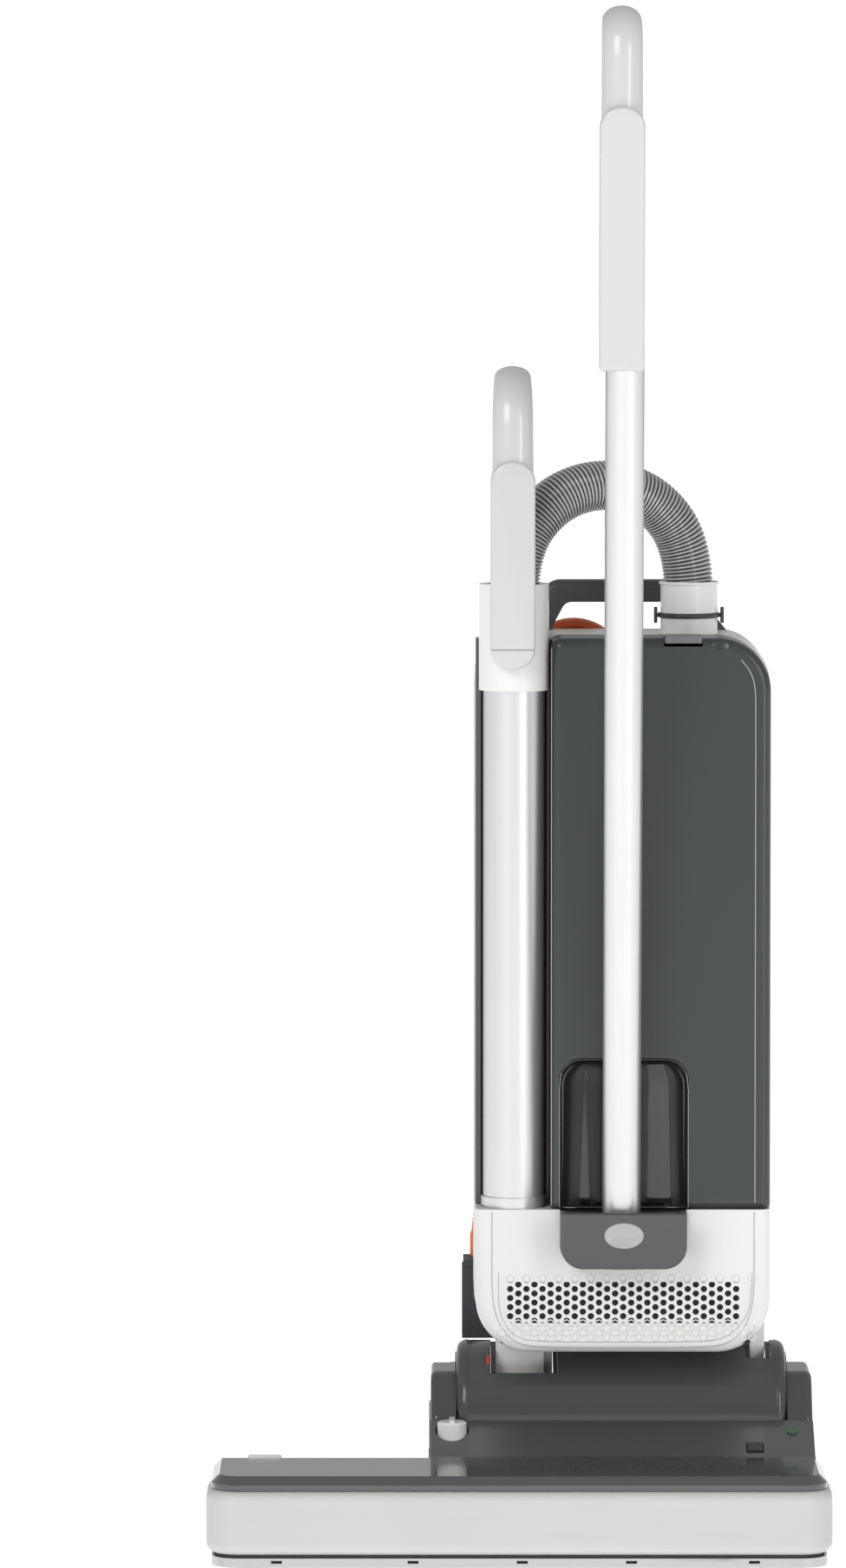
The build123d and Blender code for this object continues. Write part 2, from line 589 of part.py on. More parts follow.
def make_rear_fittings():
    low, high = HANK_Z
    tip = DEPTH - 8
    upper = rod_y(HANK_X, high, HANK_IN - POST_SLACK, (BODY_REAR, tip))
    lower = rod_y(HANK_X, low, HANK_IN - POST_SLACK, (BODY_REAR, tip))
    lower += block((HANK_X - 9, HANK_X + 9), (tip, DEPTH), (low - 36, low + 11), 3)
    save("hook_posts", Compound(children=[upper.solid(), lower.solid()]))
    save("hook_finger", block((HANK_X - 9, HANK_X + 9), (tip + 0.1, DEPTH), (high - 11, high + 35), 3))
    box = block((-41, -8), (262, 297), (133, 187)) + block((-40, -9), (263, 296), (187, 193))
    box -= body_outline((SEAM_Y, BODY_REAR))
    save("inlet_box", box)
    coupler = rod_z(CORD_X, CORD_Y, 7.6, (193, CORD_EXIT_Z + 10))
    save("cord_coupler", coupler - rod_z(CORD_X, CORD_Y, CORD_R, (CORD_EXIT_Z, CORD_EXIT_Z + 15)))
    rocker = block((130, 150), (276, 283), (593, 607)) & rod_x(*SWITCH, 7, (130, 150))
    save("power_switch", rocker)
    screws = [rod_y(x, z, 4, (BODY_REAR, BODY_REAR + 2)) for x in (-10, 166) for z in (200, 430, 640)]
    save("housing_screws", Compound(children=screws))


# Wand, handle and flexible pieces

def make_wand():
    tube = rod_z(WAND_X, WAND_Y, WAND_R, (235, 640)) + rod_z(WAND_X, WAND_Y, 24.3, (251.7, 258.2))
    tube -= rod_z(WAND_X, WAND_Y, WAND_R - 1.6, (230, 645))
    save("wand_tube", tube)
    collar = rod_z(WAND_X, WAND_Y, COLLAR_R, COLLAR_Z)
    collar -= rod_z(WAND_X, WAND_Y, WAND_R, (630, 640))
    collar -= rod_z(WAND_X, WAND_Y, 16.5, (639, 720))
    collar -= rod_z(WAND_X, WAND_Y, HOSE_R + GAP, (HOSE_END_Z - GAP, 720))
    save("wand_collar", collar)
    profile = [(101, 650), (101, 803), (104, 852), (118, 878), (146, 880), (148, 868), (130, 858),
               (120.5, 838), (120.5, 650)]
    grip = side_prism(profile, (WAND_X - 17.5, WAND_X + 17.5), [6, 30, 20, 10, 4, 6, 12, 20, 6])
    grip = fillet([e for e in grip.edges() if e.bounding_box().size.X < 1], 2.5)
    grip -= rod_z(WAND_X, WAND_Y, COLLAR_R, COLLAR_Z)
    save("wand_grip", grip)


def make_main_handle():
    top = (GRIP_Z + 25 - BASE_TOP) / math.cos(math.radians(TUBE_LEAN))
    tube = tube_rod(TUBE_R, -35.9, top) - tube_rod(TUBE_R - 1.5, -40, top + 1)
    save("handle_tube", tube)
    profile = [(23, GRIP_Z), (3, 1070), (6, 1112), (24, 1146), (72, 1140), (84, 1122), (76, 1112),
               (50, 1118), (37, 1070), (57, GRIP_Z)]
    grip = side_prism(profile, (TUBE_X - 16.5, TUBE_X + 16.5), [5, 30, 26, 16, 7, 3, 3, 14, 30, 5])
    grip = fillet([e for e in grip.edges() if e.bounding_box().size.X < 1], 4)
    grip -= tube_rod(TUBE_R, 500, top)
    save("handle_grip", grip)


def make_tube_along(name, points, r):
    """A round bar along straight runs joined by arcs as large as their runs allow."""
    radii = []
    for a, b, c in zip(points, points[1:], points[2:]):
        first = Vector(*b) - Vector(*a)
        second = Vector(*c) - Vector(*b)
        turn = math.radians(first.get_angle(second))
        radii.append(0.45 * min(first.length, second.length) / math.tan(turn / 2))
    path = FilletPolyline(*points, radius=radii).wire()
    start = Plane(origin=points[0], z_dir=path % 0)
    solid = sweep(start * Circle(r), path=path)
    print(name, "radii", [round(v) for v in radii], "length", round(path.length),
          "volume ratio", round(solid.volume / (math.pi * r * r * path.length), 4))
    save(name, solid)


def hose_route():
    """A half circle of tangent runs from the wand's collar over to the cuff."""
    span = Vector(CUFF_X - WAND_X, CUFF_Y - WAND_Y, 0)
    arch = span.length / 2
    turns = 5
    step = math.pi / turns
    points = [(WAND_X, WAND_Y, HOSE_END_Z)]
    for i in range(turns):
        a = step * (i + 0.5)
        reach = 0.5 - 0.5 * math.cos(a) / math.cos(step / 2)
        height = HOSE_ARCH_Z + arch * math.sin(a) / math.cos(step / 2)
        points.append((WAND_X + span.X * reach, WAND_Y + span.Y * reach, height))
    points.append((CUFF_X, CUFF_Y, HOSE_END_Z))
    return points


CORD_LEAD = [(CORD_X, CORD_Y, CORD_EXIT_Z), (CORD_X, CORD_Y, 228), (-24, 290, 262), (-17, 293, 298),
             (-6, 296, 326), (10, 297, 345), (22, 297, 343)]


def make_soft_parts():
    make_tube_along("suction_hose", hose_route(), HOSE_R)
    make_tube_along("mains_cord_lead", CORD_LEAD, CORD_R)
    low, high = HANK_Z
    ring = None
    for r in (HANK_OUT, HANK_IN):
        racetrack = front_slab((HANK_X - r, HANK_X + r), (low - r, high + r), HANK_Y, r - 0.01, r - 0.01)
        ring = racetrack if ring is None else ring - racetrack
    save("mains_cord_hank", ring)
    plug = block((PLUG_X - 13, PLUG_X + 13), (PLUG_Y - 12, PLUG_Y + 12), (270, 312), 5)
    plug += rod_z(PLUG_X, PLUG_Y, 4.5, (310, 352))
    for x in (PLUG_X - 6, PLUG_X + 6):
        plug += rod_z(x, PLUG_Y, 2.2, (252, 272))
    save("mains_plug", plug)


make_sole_plate()
make_base_tray()
make_bumper()
make_head_cover()
make_neck_hood()
make_side_cheeks()
make_steel_pins()
make_air_elbow()
make_brush()
make_brush_drive()
make_wheels()
make_rollers()
make_controls()
make_rear_housing()
make_neck()
make_handle_socket()
make_motor_cover()
make_exhaust_grille()
make_wand_duct()
make_suction()
make_wand_channel()
make_bag_cover()
make_inside()
make_hose_cuff()
make_carry_handle()
make_rear_fittings()
make_wand()
make_main_handle()
make_soft_parts()
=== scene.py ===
"""Upright vacuum cleaner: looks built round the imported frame. Everything is in metres."""
import math

import bpy
import numpy as np
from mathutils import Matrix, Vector


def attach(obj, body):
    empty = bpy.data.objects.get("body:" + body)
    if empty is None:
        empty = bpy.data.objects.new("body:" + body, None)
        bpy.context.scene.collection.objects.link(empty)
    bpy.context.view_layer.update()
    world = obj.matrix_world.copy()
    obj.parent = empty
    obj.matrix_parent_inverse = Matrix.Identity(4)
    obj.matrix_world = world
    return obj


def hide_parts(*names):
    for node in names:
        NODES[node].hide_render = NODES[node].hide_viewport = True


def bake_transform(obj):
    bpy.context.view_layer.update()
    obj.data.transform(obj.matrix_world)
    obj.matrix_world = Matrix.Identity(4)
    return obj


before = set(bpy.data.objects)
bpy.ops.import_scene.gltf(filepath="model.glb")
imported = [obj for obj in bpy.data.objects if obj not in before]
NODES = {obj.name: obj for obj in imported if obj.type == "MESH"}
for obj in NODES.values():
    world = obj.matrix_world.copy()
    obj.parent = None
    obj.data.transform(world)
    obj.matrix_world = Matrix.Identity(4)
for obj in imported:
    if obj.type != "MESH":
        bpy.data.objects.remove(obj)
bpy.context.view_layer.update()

MM = 0.001
HALF_DEPTH = 161.0  # millimetres from the bumper's face to the frame's origin


def at(x, depth, z):
    """A frame point in metres from millimetres of X, depth behind the bumper's face, and height."""
    return (x * MM, (depth - HALF_DEPTH) * MM, z * MM)


def placed(points):
    """An array of points given as at() takes them, moved into the frame in metres."""
    return (np.array(points) - np.array([0, HALF_DEPTH, 0])) * MM


# ---- Mesh tools ----

def add_mesh(name, points, faces, material, body, smooth=True):
    mesh = bpy.data.meshes.new(name)
    mesh.from_pydata([tuple(p) for p in points], [], [tuple(f) for f in faces])
    mesh.polygons.foreach_set("use_smooth", [smooth] * len(mesh.polygons))
    mesh.update()
    piece = bpy.data.objects.new(name, mesh)
    bpy.context.scene.collection.objects.link(piece)
    mesh.materials.append(material)
    if body:
        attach(piece, body)
    return piece


def grid_faces(rows, columns, wrap=True):
    """Quads between neighbouring points of a grid whose columns may close round."""
    r = np.arange(rows - 1)[:, None]
    c = np.arange(columns if wrap else columns - 1)[None, :]
    a = r * columns + c
    b = r * columns + (c + 1) % columns
    quads = np.stack([a, b, b + columns, a + columns], axis=-1)
    return quads.reshape(-1, 4).tolist()


def capped_surface(rings):
    """Points and faces of rings of points joined in order, closed by one face at each end."""
    rows, columns = rings.shape[:2]
    faces = grid_faces(rows, columns)
    faces.append(list(range(columns))[::-1])
    faces.append(list(range((rows - 1) * columns, rows * columns)))
    return rings.reshape(-1, 3), faces


def run_lengths(path):
    """Distance along a path from its first point to each of its points."""
    return np.concatenate([[0], np.cumsum(np.linalg.norm(np.diff(path, axis=0), axis=1))])


def frames_along(path, up):
    """Unit side and normal at each point of a path: side is across the tangent and up."""
    tangent = np.gradient(path, axis=0)
    tangent /= np.linalg.norm(tangent, axis=1)[:, None]
    side = np.cross(tangent, np.array(up, float)[None, :])
    side /= np.linalg.norm(side, axis=1)[:, None]
    return side, np.cross(side, tangent)


def tube_rings(path, radius, columns, up):
    """Circles of the given radii round a path: centre + r (cos a * side + sin a * normal)."""
    side, normal = frames_along(path, up)
    a = np.linspace(0, 2 * np.pi, columns, endpoint=False)
    ring = np.cos(a)[None, :, None] * side[:, None, :] + np.sin(a)[None, :, None] * normal[:, None, :]
    return path[:, None, :] + np.asarray(radius)[:, None, None] * ring


def limb_rings(path, half_width, half_depth, columns=48):
    """Elliptic sections across a path that lies in an upright depth plane:
    centre + width cos a * X + depth sin a * side."""
    side, _ = frames_along(path, (1, 0, 0))
    a = np.linspace(0, 2 * np.pi, columns, endpoint=False)
    across = np.zeros_like(path)
    across[:, 0] = 1
    rings = half_width[:, None, None] * np.cos(a)[None, :, None] * across[:, None, :]
    rings = rings + half_depth[:, None, None] * np.sin(a)[None, :, None] * side[:, None, :]
    return path[:, None, :] + rings


def nurbs_curve(name, points, bevel=0.0):
    """A curve of one open NURBS spline with the points as its control points."""
    curve = bpy.data.curves.new(name, "CURVE")
    curve.dimensions = "3D"
    spline = curve.splines.new("NURBS")
    spline.points.add(len(points) - 1)
    for place, point in zip(spline.points, points):
        place.co = (*point, 1.0)
    spline.order_u = 3
    spline.use_endpoint_u = True
    spline.resolution_u = 6
    curve.resolution_u = 6
    curve.bevel_depth = bevel
    curve.bevel_resolution = 3
    curve.use_fill_caps = True
    piece = bpy.data.objects.new(name, curve)
    bpy.context.scene.collection.objects.link(piece)
    return piece


def points_on_nurbs(points, count):
    """Evenly spaced points read from the NURBS spline of a route."""
    guide = nurbs_curve("route_guide", points)
    guide.data.resolution_u = 24
    guide.data.splines[0].resolution_u = 24
    bpy.context.view_layer.update()
    mesh = bpy.data.meshes.new_from_object(guide)
    line = np.array([v.co[:] for v in mesh.vertices])
    bpy.data.objects.remove(guide)
    bpy.data.meshes.remove(mesh)
    along = run_lengths(line)
    wanted = np.linspace(0, along[-1], count)
    return np.stack([np.interp(wanted, along, line[:, k]) for k in range(3)], axis=1), along[-1]


def smooth_path(points, count):
    """A path through control points in an upright depth plane, by the same NURBS reading."""
    return points_on_nurbs([at(*p) for p in points], count)[0]


# ---- Camera ----

# Metres, then the focal length and the sensor's side in millimetres.
CAMERA_AWAY = 6.1
CAMERA_HEIGHT = 1.04
AIM_HEIGHT = 0.5763
AIM_X = -0.0707
LENS = 193.2
SENSOR = 36.0
SKY_STRENGTH = 0.45
SEEN_STRENGTH = 1.05


def make_camera():
    data = bpy.data.cameras.new("camera")
    data.lens = LENS
    data.sensor_fit = "VERTICAL"
    data.sensor_height = SENSOR
    data.sensor_width = SENSOR
    camera = bpy.data.objects.new("camera", data)
    bpy.context.scene.collection.objects.link(camera)
    front = -HALF_DEPTH * MM
    place = Vector((AIM_X, front - CAMERA_AWAY, CAMERA_HEIGHT))
    camera.location = place
    look = Vector((AIM_X, front, AIM_HEIGHT)) - place
    camera.rotation_euler = look.to_track_quat("-Z", "Y").to_euler()
    bpy.context.scene.camera = camera


def area_light(name, place, aim, size, power):
    data = bpy.data.lights.new(name, "AREA")
    data.shape = "RECTANGLE"
    data.size, data.size_y = size
    data.energy = power
    light = bpy.data.objects.new(name, data)
    bpy.context.scene.collection.objects.link(light)
    light.location = place
    light.rotation_euler = (Vector(aim) - Vector(place)).to_track_quat("-Z", "Y").to_euler()


def make_floor(floor_material):
    """A square of pale floor that reaches past the camera's horizon."""
    half = 40.0
    points = [(-half, -half, 0), (half, -half, 0), (half, half, 0), (-half, half, 0)]
    return add_mesh("studio_floor", points, [(0, 1, 2, 3)], floor_material, None, smooth=False)


def make_world():
    """Soft even light, with a brighter white where the camera sees the sky itself."""
    world = bpy.data.worlds.new("studio")
    bpy.context.scene.world = world
    world.use_nodes = True
    nodes, links = world.node_tree.nodes, world.node_tree.links
    sky = nodes["Background"]
    sky.inputs["Color"].default_value = (1, 1, 1, 1)
    sky.inputs["Strength"].default_value = SKY_STRENGTH
    seen = nodes.new("ShaderNodeBackground")
    seen.inputs["Color"].default_value = (1, 1, 1, 1)
    seen.inputs["Strength"].default_value = SEEN_STRENGTH
    choose = nodes.new("ShaderNodeMixShader")
    links.new(nodes.new("ShaderNodeLightPath").outputs["Is Camera Ray"], choose.inputs["Fac"])
    links.new(sky.outputs["Background"], choose.inputs[1])
    links.new(seen.outputs["Background"], choose.inputs[2])
    links.new(choose.outputs["Shader"], nodes["World Output"].inputs["Surface"])


def make_studio(floor_material):
    make_world()
    area_light("key_softbox", (-2.2, -4.2, 3.0), (0.05, 0, 0.55), (2.2, 2.2), 84)
    area_light("fill_softbox", (2.6, -3.6, 1.6), (0.08, 0, 0.55), (0.9, 2.4), 34)
    bpy.context.scene.view_settings.view_transform = "Standard"
    make_floor(floor_material)


# ---- Materials ----

def new_group(name, inputs, outputs):
    group = bpy.data.node_groups.new(name, "ShaderNodeTree")
    for label, kind, value in inputs:
        socket = group.interface.new_socket(label, in_out="INPUT", socket_type=kind)
        socket.default_value = value
    for label, kind in outputs:
        group.interface.new_socket(label, in_out="OUTPUT", socket_type=kind)
    nodes = group.nodes
    return group, nodes.new("NodeGroupInput"), nodes.new("NodeGroupOutput")


def noise(nodes, links, coordinates, scale, detail):
    texture = nodes.new("ShaderNodeTexNoise")
    texture.inputs["Scale"].default_value = scale
    texture.inputs["Detail"].default_value = detail
    links.new(coordinates, texture.inputs["Vector"])
    return texture.outputs["Fac"]


def math_node(nodes, links, kind, a, b, clamp=False):
    node = nodes.new("ShaderNodeMath")
    node.operation = kind
    node.use_clamp = clamp
    for socket, value in zip(node.inputs, (a, b)):
        if isinstance(value, (int, float)):
            socket.default_value = value
        else:
            links.new(value, socket)
    return node.outputs[0]


def mix_colour(nodes, links, factor, a, b):
    node = nodes.new("ShaderNodeMix")
    node.data_type = "RGBA"
    for socket, value in ((node.inputs["Factor"], factor), (node.inputs[6], a), (node.inputs[7], b)):
        if isinstance(value, (int, float, tuple)):
            socket.default_value = value
        else:
            links.new(value, socket)
    return node.outputs[2]


def make_moulded_group():
    """Moulded plastic: slow colour drift, rubbed patches in the gloss, and a fine grain."""
    group, entry, leave = new_group(
        "moulded_surface",
        [("Colour", "NodeSocketColor", (0.5, 0.5, 0.5, 1)), ("Drift", "NodeSocketFloat", 0.06),
         ("Roughness", "NodeSocketFloat", 0.4), ("Rubbed", "NodeSocketFloat", 0.12),
         ("Grain", "NodeSocketFloat", 900.0)],
        [("Colour", "NodeSocketColor"), ("Roughness", "NodeSocketFloat"), ("Height", "NodeSocketFloat")])
    nodes, links = group.nodes, group.links
    place = nodes.new("ShaderNodeTexCoord").outputs["Object"]
    slow = noise(nodes, links, place, 5.0, 2.0)
    cloudy = noise(nodes, links, place, 38.0, 6.0)
    fine = nodes.new("ShaderNodeTexNoise")
    fine.inputs["Detail"].default_value = 2.0
    links.new(place, fine.inputs["Vector"])
    links.new(entry.outputs["Grain"], fine.inputs["Scale"])
    swing = math_node(nodes, links, "MULTIPLY", math_node(nodes, links, "SUBTRACT", slow, 0.5),
                      entry.outputs["Drift"])
    value = math_node(nodes, links, "ADD", swing, 1.0)
    tone = nodes.new("ShaderNodeHueSaturation")
    links.new(value, tone.inputs["Value"])
    links.new(entry.outputs["Colour"], tone.inputs["Color"])
    rub = math_node(nodes, links, "MULTIPLY", math_node(nodes, links, "SUBTRACT", cloudy, 0.42),
                    entry.outputs["Rubbed"])
    rough = math_node(nodes, links, "ADD", entry.outputs["Roughness"], rub, clamp=True)
    links.new(tone.outputs["Color"], leave.inputs["Colour"])
    links.new(rough, leave.inputs["Roughness"])
    links.new(fine.outputs["Fac"], leave.inputs["Height"])
    return group


def make_scuff_group():
    """Scuffs: stretched noise along X, kept where it is strongest, as a mask from 0 to 1."""
    group, entry, leave = new_group(
        "scuff_mask", [("Amount", "NodeSocketFloat", 0.3), ("Reach", "NodeSocketFloat", 1.0)],
        [("Mask", "NodeSocketFloat")])
    nodes, links = group.nodes, group.links
    stretch = nodes.new("ShaderNodeMapping")
    stretch.inputs["Scale"].default_value = (14, 60, 130)
    links.new(nodes.new("ShaderNodeTexCoord").outputs["Object"], stretch.inputs["Vector"])
    streaks = noise(nodes, links, stretch.outputs["Vector"], 1.0, 8.0)
    edge = nodes.new("ShaderNodeMapRange")
    edge.inputs["From Min"].default_value = 0.6
    edge.inputs["From Max"].default_value = 0.74
    links.new(streaks, edge.inputs["Value"])
    links.new(math_node(nodes, links, "MULTIPLY", edge.outputs["Result"], entry.outputs["Amount"]),
              leave.inputs["Mask"])
    return group


MOULDED = make_moulded_group()
SCUFFS = make_scuff_group()


IOR = 1.5
COAT_ROUGHNESS = 0.08


def material(name, metallic=0.0, coat=0.0, specular=0.5):
    made = bpy.data.materials.new(name)
    made.use_nodes = True
    shader = made.node_tree.nodes["Principled BSDF"]
    shader.inputs["Metallic"].default_value = metallic
    shader.inputs["Coat Weight"].default_value = coat
    shader.inputs["Coat Roughness"].default_value = COAT_ROUGHNESS
    shader.inputs["IOR"].default_value = IOR
    shader.inputs["Specular IOR Level"].default_value = specular
    return made, made.node_tree.nodes, made.node_tree.links, shader


def bump_into(nodes, links, shader, height, strength, distance):
    bump = nodes.new("ShaderNodeBump")
    bump.inputs["Strength"].default_value = strength
    bump.inputs["Distance"].default_value = distance
    links.new(height, bump.inputs["Height"])
    links.new(bump.outputs["Normal"], shader.inputs["Normal"])


def scuffed(nodes, links, shown, amount, colour):
    """The colour shown, with scuffs of another colour over it."""
    mask = nodes.new("ShaderNodeGroup")
    mask.node_tree = SCUFFS
    mask.inputs["Amount"].default_value = amount
    return mix_colour(nodes, links, mask.outputs["Mask"], shown, colour)


def plastic(name, colour, rough, drift=0.06, rubbed=0.12, grain=900.0, depth=0.00004, coat=0.0,
            scuffs=0.0, scuff_colour=(0.1, 0.1, 0.1, 1), specular=0.5, glow=0.0):
    """Moulded plastic with its own colour, gloss and grain, scuffed where asked."""
    made, nodes, links, shader = material(name, coat=coat, specular=specular)
    surface = nodes.new("ShaderNodeGroup")
    surface.node_tree = MOULDED
    surface.inputs["Colour"].default_value = (*colour, 1)
    surface.inputs["Drift"].default_value = drift
    surface.inputs["Roughness"].default_value = rough
    surface.inputs["Rubbed"].default_value = rubbed
    surface.inputs["Grain"].default_value = grain
    shown = surface.outputs["Colour"]
    if scuffs:
        shown = scuffed(nodes, links, shown, scuffs, scuff_colour)
    links.new(shown, shader.inputs["Base Color"])
    links.new(surface.outputs["Roughness"], shader.inputs["Roughness"])
    bump_into(nodes, links, shader, surface.outputs["Height"], 0.2, depth)
    if glow:
        links.new(shown, shader.inputs["Emission Color"])
        shader.inputs["Emission Strength"].default_value = glow
    return made


def brushed_metal(name, colour, rough, stretch, scuffs=0.0, metallic=1.0, rim=1.0):
    """Metal with fine draw lines: noise stretched along the drawing direction. A rim under 1 darkens
    it where it is seen at a grazing angle."""
    made, nodes, links, shader = material(name, metallic=metallic)
    shader.inputs["Specular Tint"].default_value = (rim, rim, rim, 1)
    mapping = nodes.new("ShaderNodeMapping")
    mapping.inputs["Scale"].default_value = stretch
    place = nodes.new("ShaderNodeTexCoord").outputs["Object"]
    links.new(place, mapping.inputs["Vector"])
    lines = noise(nodes, links, mapping.outputs["Vector"], 1.0, 5.0)
    cloud = noise(nodes, links, place, 11.0, 3.0)
    shade = math_node(nodes, links, "ADD", math_node(nodes, links, "MULTIPLY", lines, 0.12),
                      math_node(nodes, links, "MULTIPLY", cloud, 0.18))
    dark = tuple(c * 0.72 for c in colour) + (1,)
    tint = mix_colour(nodes, links, shade, (*colour, 1), dark)
    if scuffs:
        tint = scuffed(nodes, links, tint, scuffs, (0.12, 0.12, 0.12, 1))
    links.new(tint, shader.inputs["Base Color"])
    links.new(math_node(nodes, links, "ADD", rough - 0.03, math_node(nodes, links, "MULTIPLY", lines, 0.06)),
              shader.inputs["Roughness"])
    bump_into(nodes, links, shader, lines, 0.05, 0.00001)
    return made


def woven(name, colour, scale, depth):
    """Paper or filter mat: felted noise, darker where fibres and slow spots meet."""
    made, nodes, links, shader = material(name)
    place = nodes.new("ShaderNodeTexCoord").outputs["Object"]
    fibres = noise(nodes, links, place, scale, 8.0)
    spots = noise(nodes, links, place, scale * 0.08, 3.0)
    dark = tuple(c * 0.7 for c in colour) + (1,)
    mixed = mix_colour(nodes, links, math_node(nodes, links, "MULTIPLY", fibres, spots), (*colour, 1), dark)
    links.new(mixed, shader.inputs["Base Color"])
    shader.inputs["Roughness"].default_value = 0.9
    shader.inputs["Sheen Weight"].default_value = 0.2
    bump_into(nodes, links, shader, fibres, 0.6, depth)
    return made


LIGHT = plastic("light_grey_shell", (0.78, 0.78, 0.765), 0.34, rubbed=0.03, grain=420, depth=0.00001,
                coat=0.15)
GRIP = plastic("light_grey_grip", (0.585, 0.595, 0.585), 0.24, drift=0.04, rubbed=0.03, grain=420,
               depth=0.000008, coat=0.3)
BUMPER = plastic("bumper_grey", (0.57, 0.572, 0.56), 0.46, rubbed=0.05, grain=300, depth=0.00002, scuffs=0.05,
                 scuff_colour=(0.33, 0.33, 0.32, 1))
COVER = plastic("bag_cover_grey", (0.036, 0.041, 0.041), 0.3, drift=0.08, rubbed=0.04, grain=420,
                depth=0.000008, coat=0.12)
CHANNEL = plastic("channel_grey", (0.085, 0.09, 0.093), 0.33, rubbed=0.04, grain=420, depth=0.00001)
HEAD = plastic("head_cover_grey", (0.06, 0.063, 0.064), 0.2, drift=0.08, rubbed=0.04, grain=420,
               depth=0.000008, coat=0.32, specular=0.4)
DECK = plastic("deck_grey", (0.07, 0.073, 0.075), 0.17, drift=0.08, rubbed=0.04, grain=420,
               depth=0.000008, coat=0.7)
BASE = plastic("structural_grey", (0.035, 0.037, 0.04), 0.5, grain=300, depth=0.00004, scuffs=0.1,
               scuff_colour=(0.12, 0.12, 0.12, 1))
SOCKET = plastic("socket_grey", (0.05, 0.053, 0.057), 0.14, drift=0.08, rubbed=0.03, grain=420,
                 depth=0.000008, coat=0.5)
BLACK = plastic("black_plastic", (0.045, 0.045, 0.047), 0.45, rubbed=0.05, grain=300, depth=0.00004)
RUBBER = plastic("tyre_rubber", (0.05, 0.05, 0.052), 0.7, drift=0.15, grain=300, depth=0.0001)
HUB = plastic("hub_grey", (0.26, 0.265, 0.27), 0.45, rubbed=0.05, grain=420, depth=0.00003)
HOSE = plastic("hose_grey", (0.40, 0.405, 0.41), 0.12, drift=0.1, rubbed=0.03, grain=420, depth=0.000005,
               coat=1.0, specular=0.8)
CORD = plastic("cord_orange", (0.70, 0.13, 0.035), 0.42, drift=0.12, grain=420, depth=0.00002)
TAB = plastic("milky_tab", (0.15, 0.155, 0.16), 0.22, grain=420, depth=0.00001, coat=0.2)
BOARD = plastic("board_green", (0.02, 0.12, 0.05), 0.4, grain=400, depth=0.0001)
RED = plastic("rocker_red", (0.42, 0.02, 0.015), 0.25, grain=420, depth=0.00001, coat=0.3)
BELT = plastic("belt_black", (0.018, 0.018, 0.018), 0.75, grain=300, depth=0.0001)
BRISTLE = plastic("bristle_black", (0.02, 0.02, 0.022), 0.35, grain=900, depth=0.0001)
# Painted shade: darker than the cover's own grey, for the inside of the recess.
SHADED_RECESS_GLOSS = plastic("recess_gloss_painted_shade", (0.014, 0.016, 0.016), 0.06, drift=0.06, rubbed=0.02, grain=420,
                depth=0.000005, coat=0.5)
# Mid grey for thin beads: on the dark cover a painted highlight along its crease, on the light panel a
# painted shade line along its crease, and the outline round the grille.
EDGE = plastic("edge_grey", (0.46, 0.46, 0.45), 0.5, grain=420, depth=0.00001)
# Light grey for the blank badge, and for thin beads that paint highlights on the cover's left edge and the
# recess's sides.
BADGE_AND_HIGHLIGHT = plastic("badge_and_highlight_grey", (0.42, 0.43, 0.43), 0.3, grain=420, depth=0.00001, coat=0.3)
SEAM = plastic("seam_grey", (0.30, 0.31, 0.31), 0.6, grain=420, depth=0.00001)
TUBE = brushed_metal("drawn_tube", (0.74, 0.75, 0.76), 0.36, (260, 260, 3), metallic=0.86, rim=0.3)
SOLE = brushed_metal("sole_steel", (0.56, 0.56, 0.56), 0.36, (8, 400, 400), scuffs=0.4)
STEEL = brushed_metal("turned_steel", (0.5, 0.5, 0.51), 0.35, (8, 400, 400))
PAPER = woven("filter_paper", (0.66, 0.60, 0.48), 260.0, 0.0002)
FOAM = woven("filter_mat", (0.03, 0.03, 0.033), 420.0, 0.0004)
LENS_GREEN = plastic("lens_green", (0.03, 0.10, 0.04), 0.12, grain=420, depth=0.00001, coat=0.6)
FLOOR = plastic("studio_floor", (0.93, 0.93, 0.93), 0.8, drift=0.0, rubbed=0.0, grain=300, depth=0.00001,
                glow=0.75, specular=0.1)

FINISHES = {
    LIGHT: ("rear_housing", "motor_cover", "exhaust_grille", "neck_and_lug", "hose_cuff", "wand_collar",
            "height_knob", "release_pedal"),
    GRIP: ("handle_grip", "wand_grip"),
    BUMPER: ("bumper",),
    COVER: ("bag_cover",),
    CHANNEL: ("wand_channel",),
    DECK: ("head_cover",),
    HEAD: ("neck_hood", "side_cheeks"),
    BASE: ("base_tray", "inlet_box"),
    SOCKET: ("handle_socket",),
    BLACK: ("air_elbow", "brush_core", "roller_carrier", "brush_button", "wand_duct", "bag_holder",
            "cuff_strap", "carry_handle", "hook_posts", "hook_finger"),
    RUBBER: ("tyre_left", "tyre_right"),
    HUB: ("wheel_left", "wheel_right", "brush_pulley", "roller_left", "roller_right", "fan_impeller"),
    HOSE: ("suction_hose",),
    CORD: ("mains_cord_lead", "mains_cord_hank", "mains_plug", "cord_coupler"),
    TAB: ("cover_latch",),
    BOARD: ("control_board",),
    RED: ("power_switch",),
    BELT: ("drive_belt", "cover_seal"),
    BRISTLE: ("brush_bristles",),
    TUBE: ("wand_tube", "handle_tube"),
    SOLE: ("sole_plate",),
    STEEL: ("steel_pins", "brush_motor", "brush_bearings", "motor_pulley", "suction_motor",
            "housing_screws"),
    PAPER: ("filter_bag",),
    FOAM: ("exhaust_filter",),
    LENS_GREEN: ("indicator_lens",),
}


def finish_nodes():
    for made, names in FINISHES.items():
        for name in names:
            mesh = NODES[name].data
            mesh.materials.clear()
            mesh.materials.append(made)


# ---- Sizes, in millimetres as at() takes them ----

